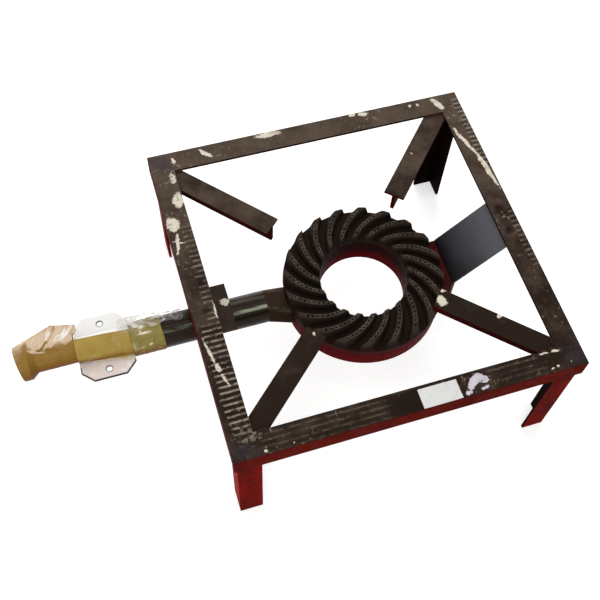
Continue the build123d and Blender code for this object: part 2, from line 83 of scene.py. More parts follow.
BRACKET_LOW, BRACKET_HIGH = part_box("tube_bracket")
STRAP_LOW, STRAP_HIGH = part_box("burner_strap")


def screen(red, green, blue):
    """Linear colour with alpha from a screen colour."""
    value = np.array([red, green, blue]) / 255
    light = np.where(value <= 0.04045, value / 12.92, ((value + 0.055) / 1.055) ** 2.4)
    return (*light.tolist(), 1.0)


def colour(name, description, *rgb):
    """Colour property from a screen colour."""
    return FloatVectorProperty(
        name=name, description=description, default=screen(*rgb), size=4, min=0, max=1, subtype="COLOR")


def size(name, description, value):
    """Length property, given in millimetres."""
    return FloatProperty(name=name, description=description, default=value * MM, unit="LENGTH")


def angle(name, description, degrees):
    """Angle property, given in degrees."""
    return FloatProperty(name=name, description=description, default=radians(degrees), subtype="ANGLE")


def number(name, description, value):
    """Plain number property."""
    return FloatProperty(name=name, description=description, default=value)


# What a user would change


class StandLooks(PropertyGroup):
    """Paint of the frame, legs and pot supports"""

    # Tops run from dark to pale with wear, and paler towards the back as a painted sheen
    top_dark: colour("Dark top", "Paint on upward faces, where it is dirtiest", 46, 36, 30)
    top_pale: colour("Pale top", "Paint on upward faces, where it is rubbed", 98, 84, 72)
    red: colour("Red", "Paint on the bars' upright faces", 94, 17, 8)
    red_dark: colour("Dark red", "Paint on upright faces, where it is thick or sooty", 76, 14, 7)
    red_leg: colour("Leg red", "Paint on the legs", 118, 16, 8)
    # Lighter red on the legs' left flanks: painted light
    red_lit_flank: colour("Fresh red", "Paint on the legs' left flanks", 164, 26, 16)
    maroon: colour("Maroon", "Paint on the supports' webs", 62, 10, 9)
    # This colour also serves as painted shade on inward faces and on the bars' left faces
    soot: colour("Soot", "Soot on inner faces that look at the burner", 18, 7, 7)
    flute: colour("Flute marks", "Ridges of cardboard pressed into the paint", 164, 151, 134)
    flute_pitch: size("Flute pitch", "From one cardboard ridge to the next", 6.3)
    residue: colour("Paper residue", "Paper that stuck to the paint", 228, 219, 200)
    residue_thin: colour("Thin residue", "The same, where little of it is left", 158, 146, 130)
    scorch: colour("Scorch", "Burnt paint beside the burner and the welds", 38, 29, 25)
    temper: colour("Temper", "Blue tint of heated steel at the welded corners", 62, 60, 72)
    weld: colour("Weld", "Weld beads under the paint", 66, 20, 16)
    weld_r: size("Weld bead", "Radius of a weld bead", 1.6)


class BurnerLooks(PropertyGroup):
    """Shape and finish of the ribbed head and its body"""

    ribs: IntProperty(name="Ribs", description="Ribs round the head", default=20, min=3)
    rib_twist: angle("Rib twist", "How far a rib turns between its ends", 30)
    rib_foot: angle("Rib foot", "Width of a rib at the groove floor", 12.6)
    rib_crest: angle("Rib crest", "Width of a rib at its crest", 5.4)
    rib_lean: angle("Rib lean", "How much wider one flank of a rib is than the other, by halves", 1.6)
    rib_inner: size("Rib start", "Radius of the ribs' inner ends", 48.4)
    rib_outer: size("Rib end", "Radius of the ribs' outer ends", 88)
    inner: size("Hole radius", "Radius of the hole through the head", 48)
    plate: size("Plate", "Seat to groove floor", 3.5)
    crest: size("Crest", "Seat to rib crest", 12)
    crest_fall: size("Crest fall", "How far a crest falls at its inner end", 1)
    crest_run: size("Crest run", "Length of that fall", 2)
    rim_fall: size("Rim fall", "How far the groove floor falls towards the rim", 2.3)
    skirt_wall: size("Skirt wall", "Thickness of the skirt", 1.3)
    notch: size("Neck notch", "Half width of the skirt's notch over the neck", 22.4)
    ports: IntProperty(name="Ports", description="Gas ports along each rib", default=8, min=2)
    port_first: size("First port", "Radius of the innermost port", 54)
    port_last: size("Last port", "Radius of the outermost port", 81)
    port_r: size("Port radius", "Radius of a port", 1.1)
    port_depth: size("Port depth", "How deep a port is modelled", 2.6)
    grain: size("Casting grain", "Height of the sand-cast grain", 0.12)
    crest_colour: colour("Crest colour", "Iron on the crests", 66, 58, 49)
    back_colour: colour("Back colour", "Iron on the crests at the back, browned by heat", 52, 40, 33)
    rim_colour: colour("Rim colour", "Burrs of bare metal round the ports", 134, 129, 116)
    flank_colour: colour("Flank colour", "Iron on the ribs' flanks", 47, 38, 31)
    groove_colour: colour("Groove colour", "Soot in the grooves", 37, 29, 24)
    # The ports' dark is soot and painted shade standing for their depth
    port_soot_and_shade: colour("Port colour", "Soot in the ports", 15, 12, 10)
    skirt: colour("Skirt", "Browned red paint on the head's skirt", 66, 25, 20)
    rust: colour("Rust", "Brown tint of heated iron", 66, 44, 32)
    body_red: colour("Body red", "Paint on the burner's body", 98, 14, 18)
    body_dark: colour("Body soot", "Sooty paint on the burner's body", 44, 15, 15)
    pad: colour("Pad", "Browned paint on the pad under the strap", 74, 27, 23)
    neck: colour("Neck", "Paint on the inlet neck, browned by heat", 60, 46, 37)
    # The darker paint inside the hole is painted shade
    hole_shade: colour("Hole wall", "Sooty paint inside the burner's hole", 40, 13, 13)


class MixerLooks(PropertyGroup):
    """Paint and metal of the tube, strap, bracket, horn, plate and jet"""

    tube: colour("Tube", "Gloss paint on the mixer tube", 40, 29, 21)
    # The tube's grey far side is partly dirt and partly a painted reflection of the surroundings
    tube_dust_and_sheen: colour("Tube dust", "Dust on the tube's far side", 128, 120, 114)
    # This pale line is a painted highlight
    tube_highlight: colour("Tube rub", "Pale line rubbed along the tube", 186, 198, 168)
    gloss: number("Gloss", "Level of the gloss paint's highlights", 0.12)
    sheen: colour("Sheen", "Tint of the gloss paint's highlights", 255, 250, 238)
    # The strap's pale grey-blue is a painted reflection; the paint itself is dark
    strap: colour("Strap", "Satin paint on the strap", 100, 99, 105)
    strap_soot: colour("Strap soot", "Strap beside the burner", 20, 15, 17)
    bracket: colour("Bracket", "Paint on the tube's bracket", 62, 49, 38)
    iron: colour("Iron", "Bare iron of the horn", 88, 84, 80)
    zinc: colour("Zinc", "Dull plating of the saddle plate", 252, 250, 247)
    zinc_stain: colour("Zinc stain", "Stains on that plating", 226, 212, 204)
    # The cut edge colour also serves as painted shade on the plate's edges and round its holes
    cut_edge_and_shade: colour("Cut edge", "Sheared edge of the saddle plate", 44, 48, 50)
    plate_shade_rim: size("Plate rim", "Width of the dark rim on the plate's near ear", 1.6)
    plate_corner: size("Plate corner", "Length cut off the plate's corners, along each side", 11.5)
    hole_spacing: size("Hole spacing", "Between the plate's two holes", 54)
    # The dark rims on the near ear and round the holes are painted shade
    hole_shade_rim: size("Hole rim", "Radius of the dark rim round a hole", 4)
    bolt: colour("Bolt", "Plated bolts and washers", 150, 150, 146)
    brass: colour("Brass", "Jet and lock nut", 186, 146, 72)


class TapeLooks(PropertyGroup):
    """Packing tape on the mixer's end"""

    amber: colour("Amber", "Tape wound tight, several layers deep", 138, 103, 35)
    # Paler where the tape faces up: painted light
    tan: colour("Tan", "The same, where it faces up", 158, 124, 62)
    peach: colour("Peach", "Single layer of tape that stands free", 226, 200, 170)
    mustard: colour("Mustard", "Flat tape over the saddle plate", 176, 148, 72)
    mustard_pale: colour("Pale mustard", "Flat tape over the pale ear", 226, 214, 184)
    olive: colour("Olive", "Tape on the dark tube", 148, 136, 72)
    # Glints are painted highlights, partly air trapped in the folds
    glint: colour("Glint", "Folds of tape with air in them", 255, 249, 238)
    # Darker underside of the tape: painted shade
    under: colour("Underside", "Tape that faces down", 112, 54, 14)
    clear: colour("Clear film", "Loose clear tape beside the plate", 226, 220, 212)
    wall: size("Film wall", "Thickness of the wound film", 0.4)
    crinkle: size("Crinkle", "Depth of the creases", 1.2)
    ridge: angle("Ridge", "Bearing of the loose film's ridge, from +Y towards +Z", 32)
    tent: size("Tent", "Largest radius of that ridge", 33)


class PaperLooks(PropertyGroup):
    """Blank paper label and the scrap of a torn one on the front bar"""

    label: colour("Label", "Blank paper label", 232, 232, 230)
    scrap: colour("Scrap", "Torn paper, backing side", 216, 210, 220)
    smear: colour("Smear", "Dirt on the paper", 150, 146, 144)
    label_start: size("Label start", "Left end, from the stand's middle", 6.4)
    label_length: size("Label length", "Along the bar", 40.5)
    label_width: size("Label width", "Across the bar", 20.6)


class StageLooks(PropertyGroup):
    """Camera, lamps and floor"""

    camera: FloatVectorProperty(
        name="Camera", description="Camera position", default=(-0.14042, -0.45427, 0.97122), subtype="XYZ")
    aim: FloatVectorProperty(
        name="Aim", description="Point on its axis", default=(0.050246, -0.015544, 0.1), subtype="XYZ")
    roll: angle("Roll", "Turn of the camera about its axis", 6.493)
    lens: number("Lens", "Focal length in millimetres on a 36 mm sensor", 54.544)
    shift: FloatVectorProperty(
        name="Shift", description="Lens shift, right and up", default=(-0.0408, 0.0112), size=2)
    floor: colour("Floor", "Pale floor", 226, 226, 224)
    floor_size: size("Floor size", "Side of the floor", 12000)
    floor_glow: number("Floor glow", "Added to the floor where the camera or a reflection sees it", 0.61)
    world: number("World", "Strength of the pale surroundings", 0.5)
    key: number("Key", "Power of the large lamp behind the stove, in watts", 18)
    fill: number("Fill", "Power of the low lamp in front of the stove, in watts", 9)
    strip: number("Strip", "Power of the narrow lamp over the mixer, in watts", 3)


LOOKS = {
    "stove_stand": StandLooks,
    "stove_burner": BurnerLooks,
    "stove_mixer": MixerLooks,
    "stove_tape": TapeLooks,
    "stove_paper": PaperLooks,
    "stove_stage": StageLooks,
}


# Meshes


def grid_faces(rows, columns, round_rows=False, round_columns=False):
    """Quads between neighbouring points of a grid, joined round at its ends where asked."""
    row, column = np.meshgrid(
        np.arange(rows if round_rows else rows - 1),
        np.arange(columns if round_columns else columns - 1), indexing="ij")
    here, below = row * columns, (row + 1) % rows * columns
    beside = (column + 1) % columns
    return np.stack([here + column, below + column, below + beside, here + beside], -1).reshape(-1, 4)


def slab_faces(rows, columns):
    """Faces of a closed sheet: a top grid, a bottom grid and walls round the edge."""
    upper = grid_faces(rows, columns)
    lower = upper[:, ::-1] + rows * columns
    index = np.arange(rows * columns).reshape(rows, columns)
    rim = np.concatenate([index[:-1, 0], index[-1, :-1], index[:0:-1, -1], index[0, :0:-1]])
    after = np.roll(rim, -1)
    walls = np.stack([rim, after, after + rows * columns, rim + rows * columns], -1)
    return np.concatenate([upper, lower, walls[:, ::-1]])


def make_piece(name, points, faces, finish, body="stand", replaced=(), slot=None, **values):
    """Smooth mesh object at the origin that rides on a body. Each extra array becomes a value per point."""
    mesh = bpy.data.meshes.new(name)
    mesh.from_pydata(points.reshape(-1, 3).tolist(), [], faces if isinstance(faces, list) else faces.tolist())
    for key, array in values.items():
        field = mesh.attributes.new(key, "FLOAT", "POINT")
        field.data.foreach_set("value", array.astype(np.float32).ravel())
    mesh.polygons.foreach_set("use_smooth", np.ones(len(mesh.polygons), bool))
    mesh.materials.append(finish.material)
    mesh.update()
    piece = bpy.data.objects.new(name, mesh)
    bpy.context.scene.collection.objects.link(piece)
    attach(piece, body)
    if replaced:
        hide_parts(*replaced)
    return piece


def make_sheet(name, top, bottom, finish, turned=False, loose=None, **rest):
    """Closed sheet between a top grid and a bottom grid, turned where their rows run the other way round."""
    faces = slab_faces(*top.shape[:2])
    if loose is not None:
        rest["loose"] = np.stack([loose, loose])
    make_piece(name, np.stack([top, bottom]), faces[:, ::-1] if turned else faces, finish, **rest)


def smooth_step(start, end, value):
    """0 at start, 1 at end and an S curve between them; start may be the larger."""
    t = np.clip((value - start) / (end - start), 0, 1)
    return t * t * (3 - 2 * t)


def bell(value, width):
    """1 where the value is 0, and near 0 beyond twice the width."""
    return np.exp(-((value / width) ** 2))


def wrap(turn):
    """The same angle, between -pi and pi."""
    return np.angle(np.exp(1j * turn))


def waves(points, length, seed, count=20):
    """Smooth random field of about unit strength: a sum of plane waves about that length."""
    rng = np.random.default_rng(seed)
    turns = rng.normal(size=(points.shape[-1], count)) / length
    return np.cos(points @ turns * 2 + rng.uniform(0, 2 * pi, count)).sum(-1) / np.sqrt(count / 2)


def facets(points, length, seed, count=80, crease=0.08, slope=0.22):
    """Crumpled film: each point takes the tilt of the nearest of scattered seeds, blended at the creases.

    Gives the height, and a shade from 0 to 1 that each facet has of its own.
    """
    rng = np.random.default_rng(seed)
    seeds = rng.choice(points.reshape(-1, 3), count, replace=False)
    square = (points**2).sum(-1, keepdims=True) + (seeds**2).sum(-1) - 2 * points @ seeds.T
    gaps = np.sqrt(np.maximum(square, 0))
    weight = np.exp((gaps.min(-1, keepdims=True) - gaps) / (crease * length))
    weight /= weight.sum(-1, keepdims=True)
    tilt = rng.normal(0, slope, seeds.shape)
    rise = points @ tilt.T - (seeds * tilt).sum(-1)
    return (weight * rise).sum(-1), weight @ rng.uniform(size=count)


# Finishes


class Nodes:
    """Short calls for the nodes of one tree."""

    def __init__(self, tree):
        self.tree = tree

    def node(self, kind, settings=None, **inputs):
        """New node with its settings, and its inputs linked or set."""
        made = self.tree.nodes.new(kind)
        for key, value in (settings or {}).items():
            setattr(made, key, value)
        for key, value in inputs.items():
            self.feed(made.inputs[key.replace("_", " ")], value)
        return made

    def feed(self, target, value):
        """Link a socket to an input, or set a plain value on it."""
        if isinstance(value, NodeSocket):
            self.tree.links.new(value, target)
        else:
            target.default_value = value

    def math(self, operation, first, *others):
        """Operation on one value, or on several in turn."""
        for other in others or (0.0,):
            made = self.node("ShaderNodeMath", {"operation": operation})
            self.feed(made.inputs[0], first)
            self.feed(made.inputs[1], other)
            first = made.outputs[0]
        return first

    def total(self, *values):
        """Sum of values."""
        return self.math("ADD", *values)

    def product(self, *values):
        """Product of values."""
        return self.math("MULTIPLY", *values)

    def most(self, *values):
        """Largest of values."""
        return self.math("MAXIMUM", *values)

    def seen(self):
        """1 where the camera looks, directly, by a reflection or through film, and 0 for other light."""
        path = self.node("ShaderNodeLightPath").outputs
        return self.most(path["Is Camera Ray"], path["Is Glossy Ray"], path["Is Transmission Ray"])


class Finish(Nodes):
    """Material of one finish. A noise is given by its length in millimetres, its detail and its roughness."""

    def __init__(self, name):
        self.material = bpy.data.materials.new(name)
        self.material.use_nodes = True
        super().__init__(self.material.node_tree)
        self.tree.nodes.clear()
        self.shader = self.node("ShaderNodeBsdfPrincipled")
        output = self.node("ShaderNodeOutputMaterial")
        self.tree.links.new(self.shader.outputs["BSDF"], output.inputs["Surface"])
        self.place = self.node("ShaderNodeTexCoord").outputs["Object"]
        self.normal = self.node("ShaderNodeNewGeometry").outputs["Normal"]

    def set(self, **inputs):
        """Inputs of the shader itself."""
        for key, value in inputs.items():
            self.feed(self.shader.inputs[key.replace("_", " ")], value)

    def vector(self, operation, first, second=None):
        """Sum, product or another operation on two vectors."""
        made = self.node("ShaderNodeVectorMath", {"operation": operation})
        self.feed(made.inputs[0], first)
        if second is not None:
            self.feed(made.inputs[1], second)
        return made.outputs["Value" if operation in ("LENGTH", "DOT_PRODUCT") else "Vector"]

    def axis(self, name, vector=None):
        """One coordinate of the place on the object, or of another vector."""
        return self.node("ShaderNodeSeparateXYZ", Vector=vector or self.place).outputs[name]

    def value(self, name):
        """Value per point that the mesh carries."""
        return self.node("ShaderNodeAttribute", {"attribute_name": name}).outputs["Fac"]

    def span(self, value, start, end, low=0.0, high=1.0):
        """S curve from low at start to high at end."""
        made = self.node("ShaderNodeMapRange", {"interpolation_type": "SMOOTHSTEP"},
                         Value=value, From_Min=start, From_Max=end, To_Min=low, To_Max=high)
        return made.outputs[0]

    def mix(self, factor, first, second):
        """Colour between two colours."""
        made = self.node("ShaderNodeMix", {"data_type": "RGBA"})
        self.feed(made.inputs[0], factor)
        self.feed(made.inputs[6], first)
        self.feed(made.inputs[7], second)
        return made.outputs[2]

    def noise(self, length, detail=2.0, roughness=0.5, stretch=(1, 1, 1), shift=0.0):
        """Noise about that length, from 0 to 1; stretch lengthens it along an axis."""
        scale = tuple(1 / (length * MM * s) for s in stretch)
        place = self.node("ShaderNodeMapping", Vector=self.place, Scale=scale, Location=(shift, shift, shift))
        made = self.node("ShaderNodeTexNoise", Vector=place.outputs[0], Scale=1.0,
                         Detail=detail, Roughness=roughness)
        return made.outputs["Fac"]

    def blots(self, noise, start, end, low=0.0, high=1.0, **more):
        """Noise through an S curve: blots from low to high."""
        return self.span(self.noise(*noise, **more), start, end, low, high)

    def swing(self, reach, noise, **more):
        """Noise about 0, of that reach."""
        return self.product(self.math("SUBTRACT", self.noise(*noise, **more), 0.5), reach)

    def grain(self, *layers):
        """Sum of noises."""
        return self.total(*[self.noise(*layer) for layer in layers])

    def wander(self, length, reach):
        """The place on the object, pushed about by noise of that reach in millimetres, for ragged limits."""
        push = self.node("ShaderNodeTexNoise", Vector=self.place, Scale=1 / (length * MM), Detail=4.0)
        centred = self.vector("SUBTRACT", push.outputs["Color"], (0.5, 0.5, 0.5))
        return self.vector("ADD", self.place, self.vector("MULTIPLY", centred, (reach * MM,) * 3))

    def patch(self, place, middle, half, soft, turn=0.0, strength=1.0, square=False):
        """Strength inside an ellipse or a rectangle of the plan, 0 outside it, with a soft limit."""
        local = self.node("ShaderNodeMapping", {"vector_type": "TEXTURE"}, Vector=place,
                          Location=middle, Rotation=(0, 0, turn), Scale=half).outputs[0]
        if square:
            apart = self.vector("ABSOLUTE", local)
            reach = self.most(self.axis("X", apart), self.axis("Y", apart))
        else:
            reach = self.vector("LENGTH", local)
        return self.span(reach, 1 + soft, 1 - soft, high=strength)

    def marks(self, place, marks, height, soft, square=False):
        """The strongest of several patches at that height."""
        found = []
        for x, y, half_x, half_y, turn, strength in marks:
            middle = (STAND_X + x * MM, y * MM, height)
            half = (half_x * MM, half_y * MM, 1.0)
            found.append(self.patch(place, middle, half, soft, radians(turn), strength, square))
        return reduce(self.most, found)

    def close(self, base, level, dull, relief, depth, limits=(0.3, 0.7)):
        """Colour, level of highlights, relief, and roughness by noise: length, detail, lowest, highest."""
        length, detail, low, high = dull
        self.set(Base_Color=base, Specular_IOR_Level=level)
        self.set(Roughness=self.span(self.noise(length, detail), *limits, low, high))
        self.bump(relief, depth)
        return self

    def bump(self, height, depth):
        """Relief of that depth, in millimetres, under the shader."""
        self.set(Normal=self.node("ShaderNodeBump", Height=height, Distance=depth * MM).outputs[0])


def dress(finish, *names):
    """Give CAD nodes a finish."""
    for name in names:
        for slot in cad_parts[name].material_slots:
            slot.material = finish.material


# Stand
# Marks on the stand's top, in millimetres from its middle: x, y, half sizes, turn in degrees, strength
BAR_RESIDUE = (
    (-163, 118, 5.5, 10, -5, 1.0), (-175.5, 89, 6.6, 9, 0, 1.0), (-176, 64, 1.9, 13, -10, 0.9),
    (-175, 66, 7, 1.3, -19, 0.8), (-175.5, -67, 1.5, 20, 9, 0.7), (-171.4, -84, 2.3, 5, 10, 0.9),
    (-168, -99, 1.5, 9, 13, 0.72), (-158.6, -23, 1.4, 11, 0, 0.75), (-162, 147, 4, 9, 0, 0.6),
    (-156, 170, 2.5, 4, 0, 0.9), (-120, 171.5, 8.5, 2.8, -47, 1.0), (-46, 178.5, 14.5, 3.8, 0, 1.0),
    (54, 180, 4, 2.2, 0, 0.9), (67, 178.5, 6, 2.8, -8, 0.9), (123.6, 175.8, 2.4, 2.2, 0, 0.8),
    (133, 175, 2.2, 2, 0, 0.8), (156, 170.5, 3.6, 9.5, 26, 1.0), (167, 110, 2.2, 24, 17, 0.9),
    (176, 69, 2.7, 26, 8, 1.0), (-150.6, -178.7, 1.9, 1.7, 0, 1.0), (-123.4, -178, 1.1, 1.1, 0, 0.7),
    (141.8, -160.4, 5.5, 1.0, -4, 0.9), (155, -160.4, 4.6, 1.4, 0, 0.9), (151, -177, 1.7, 1.5, 0, 1.0),
    (145, -178, 2.2, 1.0, 0, 0.8), (166, -176, 1.0, 0.8, 0, 0.6),
)
SUPPORT_RESIDUE = (
    (67, -74, 5, 6.5, 20, 1.0), (74, -61, 4.5, 4, 0, 0.9), (118, -106.5, 3.6, 2, 30, 1.0),
    (-63, -66, 3.4, 2.4, 0, 0.7), (-71, -74, 2, 3, 0, 0.6), (103, 112, 1.5, 3, 20, 0.6),
)
BRACKET_RESIDUE = ((-143, 5.5, 4.8, 5.2, 30, 1.0),)
BAR_SCORCH = (
    (167.5, 15.5, 4.6, 4.4, 0, 1.0), (167.7, -14, 4.6, 4.4, 0, 1.0),
    (-164.5, 13.5, 4.6, 4.6, 0, 1.0), (-166.8, -20, 5, 4.4, 0, 0.8),
)
BAR_TEMPER = ((-170, 170, 11, 10, 0, 0.5), (172, -172, 10, 10, 0, 0.3), (-172, -172, 10, 9, 0, 0.3))
# The same for rectangles
FLUTE_ZONES = (
    (-167, -97, 10, 59, 0, 0.9), (-162.5, 22, 5.5, 60, 0, 0.5), (178.25, 119, 4.75, 53, 0, 0.75),
    (178.75, -25, 4.25, 37, 0, 0.42), (-89.5, -169.5, 62.5, 11.5, 0, 0.16), (107, -161.5, 27, 3.5, 0, 0.25),
    (116, -174.5, 24, 6.5, 0, 0.12),
)
CLEAN_ZONES = ((-10.3, -172, 16.7, 12, 0, 0.85),)


def top_paint(paint, looks, rubbed=0.0):
    """Browned, dirty paint of upward faces: fine streaks, rubbed patches, and paler towards the back as a
    painted sheen.
    """
    # Paler towards the back: a painted sheen; the rubbed argument shifts it together with the wear
    back = paint.span(paint.axis("Y"), -STAND_HALF, STAND_HALF, rubbed - 0.2, rubbed + 0.18)
    wear_and_sheen = paint.span(paint.total(paint.noise(26, 6, 0.66), back), 0.22, 0.86)
    top = paint.mix(wear_and_sheen, looks.top_dark, looks.top_pale)
    return paint.mix(paint.blots((1.4, 4, 0.7), 0.3, 0.75, high=0.3), top, looks.top_dark)


def side_paint(paint, looks, first, second):
    """Paint of upright faces, uneven, and darker on faces of bars and legs that look inwards, partly soot and
    partly painted shade.

    The darkening goes by the distance of such a face from the stand's middle: the toes of the right legs and
    the edges of the bars have less of it than the faces set back behind them, where it is painted shade.
    """
    runs = paint.blots((34, 4, 0.55), 0.36, 0.74, stretch=(1, 1, 1.8))
    centred = paint.vector("SUBTRACT", paint.place, (STAND_X, 0.0, 0.0))
    inward = paint.vector("MULTIPLY", centred, paint.normal)
    depth = paint.vector("DOT_PRODUCT", inward, (-1.0, -1.0, 0.0))
    edge = STAND_HALF - BAR_WIDTH
    right = paint.span(paint.axis("X"), STAND_X - 50 * MM, STAND_X + 50 * MM, high=0.95)
    toe = paint.product(right, paint.span(depth, edge - 2 * BAR_WALL, edge - 1.5 * BAR_WALL))
    flange = paint.span(depth, edge - 0.7 * BAR_WALL, edge - 0.2 * BAR_WALL, high=0.8)
    behind = paint.span(depth, STAND_HALF - 5 * BAR_WALL, STAND_HALF - 4 * BAR_WALL)
    # Darker on inward faces: partly soot, partly painted shade
    return paint.mix(paint.most(toe, flange, behind), paint.mix(runs, first, second), looks.soot)


def torn_paper(paint, marks, height):
    """Ragged remains of paper: soft patches that noise bends and eats into."""
    field = paint.marks(paint.wander(7, 5), marks, height, 0.7)
    rough = paint.product(paint.swing(1.3, (3.2, 5, 0.68)), paint.span(field, 0.05, 0.4))
    return paint.span(paint.total(field, rough), 0.34, 0.66)


def finish_paint(paint, sides, top, relief=None):
    """Top paint above, side paint below, with a ragged limit, fine grain and a dull gloss."""
    upward = paint.total(paint.axis("Z", paint.normal), paint.product(paint.noise(4, 4), 0.12))
    facing = paint.span(upward, 0.72, 0.86)
    grain = paint.grain((1.1, 3), (6, 2))
    if relief is not None:
        grain = paint.total(grain, paint.product(relief, facing))
    base = paint.mix(facing, sides, top)
    return paint.close(base, level=0.002, dull=(6, 4, 0.36, 0.54), relief=grain, depth=0.22)


def bar_paint(looks):
    """Frame bars: flute marks of cardboard, paper residue, scorches and blue corners on the browned top, and
    painted shade on faces that look left.
    """
    paint = Finish("bar_paint")
    top_z = STAND_HIGH.z
    ragged = paint.wander(3.5, 5)
    top = top_paint(paint, looks)
    top = paint.mix(paint.marks(ragged, BAR_TEMPER, top_z, 0.9), top, looks.temper)
    top = paint.mix(paint.marks(paint.place, CLEAN_ZONES, top_z, 0.06, square=True), top, looks.scorch)
    wave = paint.product(paint.axis("Y", paint.wander(14, 1.2)), 2 * pi / looks.flute_pitch)
    ridge = paint.math("SINE", wave)
    broken = paint.blots((5, 5, 0.72), 0.36, 0.6, stretch=(1.3, 1, 1), shift=3.1)
    zone = paint.marks(ragged, FLUTE_ZONES, top_z, 0.12, square=True)
    top = paint.mix(paint.product(paint.span(ridge, 0.0, -0.7, high=0.55), zone), top, looks.scorch)
    top = paint.mix(paint.product(paint.span(ridge, 0.15, 0.85), broken, zone), top, looks.flute)
    dense = paint.product(paint.noise(38, 2, 0.5, shift=2.4), 0.4)
    specks = paint.span(paint.total(paint.noise(4, 5, 0.72), dense), 0.81, 0.9, high=0.6)
    top = paint.mix(specks, top, looks.flute)
    top = paint.mix(paint.marks(ragged, BAR_SCORCH, top_z, 0.8), top, looks.scorch)
    thin = paint.blots((5, 4, 0.7), 0.5, 0.68, shift=7.7)
    paper = paint.mix(thin, looks.residue, looks.residue_thin)
    top = paint.mix(torn_paper(paint, BAR_RESIDUE, top_z), top, paper)
    # Faces that look left are darkened towards soot: painted shade
    left = paint.span(paint.axis("X", paint.normal), -0.5, -0.9, high=0.3)
    sides = paint.mix(left, side_paint(paint, looks, looks.red, looks.red_dark), looks.soot)
    return finish_paint(paint, sides, top)


def leg_paint(looks):
    """Legs: red outside, a lighter red on their left flanks as painted light, and darker inside, partly soot
    and partly painted shade.
    """
    paint = Finish("leg_paint")
    # Left flanks a lighter red: painted light
    lit_flank = paint.span(paint.axis("X", paint.normal), -0.5, -0.9)
    sides = side_paint(paint, looks, paint.mix(lit_flank, looks.red_leg, looks.red_lit_flank), looks.red_dark)
    return finish_paint(paint, sides, top_paint(paint, looks))


def support_paint(looks):
    """Pot supports: browned top with a few chips of paper, dark red webs."""
    paint = Finish("support_paint")
    chips = torn_paper(paint, SUPPORT_RESIDUE, SUPPORT_TOP)
    # The supports' tops sit lower on that scale of wear and painted sheen
    top = paint.mix(chips, top_paint(paint, looks, -0.1), looks.residue)
    return finish_paint(paint, side_paint(paint, looks, looks.maroon, looks.soot), top, chips)


class STOVE_OT_stand(Operator):
    """Paint the frame bars, legs and pot supports"""

    bl_idname = "stove.stand"
    bl_label = "Paint the stand"

    def execute(self, context):
        looks = context.scene.stove_stand
        dress(bar_paint(looks), *BARS)
        dress(leg_paint(looks), *[f"{corner}_leg" for corner in CORNERS])
        dress(support_paint(looks), *[f"{corner}_support" for corner in CORNERS])
        return {"FINISHED"}


# Burner
HEAD_ROWS, HEAD_COLUMNS = 97, 800
HEAD_EDGE = 0.35 * MM
RIB_SEED, CAST_SEEDS = 5, (11, 12)
# Ways that the tube's far side, greyed by dirt and by a painted reflection of the bright surroundings, and
# its painted highlight line face
DUST_AND_SHEEN_FACING, HIGHLIGHT_FACING = (0.0, 0.71, 0.71), (0.0, -0.465, 0.885)
# Share of a rib's length from which the groove floor falls towards the rim
FALL_START = 0.7
# How uneven the ribs are: bearing in radians, height of crests and of outer tips in millimetres
BEARING_ERROR, CREST_ERROR, TIP_ERROR = (-0.006, 0.006), (-0.3, 0.1), (-1.2, 0.2)


def head_profile(looks):
    """Closed outline of the head, in radius and height over the seat: groove floor, skirt and underside."""
    inner, outer, plate, edge = looks.inner, looks.rib_outer, looks.plate, HEAD_EDGE
    skirt = HEAD_R - looks.skirt_wall
    drop = HEAD_LOW.z - HEAD_HIGH.z + looks.crest
    floor = np.linspace(inner + edge, outer + 0.45 * MM, HEAD_ROWS)
    corner = np.array([
        (HEAD_R, -edge), (HEAD_R, drop / 2), (HEAD_R, drop + edge), (HEAD_R - edge, drop),
        (skirt + edge, drop), (skirt, drop + edge), (skirt, drop / 2), (skirt, -edge), (skirt - edge, 0),
        (outer - 3 * MM, 0), ((inner + outer) / 2, 0), (inner + edge, 0),
        (inner, edge), (inner, plate / 2), (inner, plate - edge),
    ])
    outward = (floor - looks.rib_inner) / (outer - looks.rib_inner)
    height = plate - looks.rim_fall * smooth_step(FALL_START, 1, outward)
    return np.concatenate([np.stack([floor, height], -1), corner])


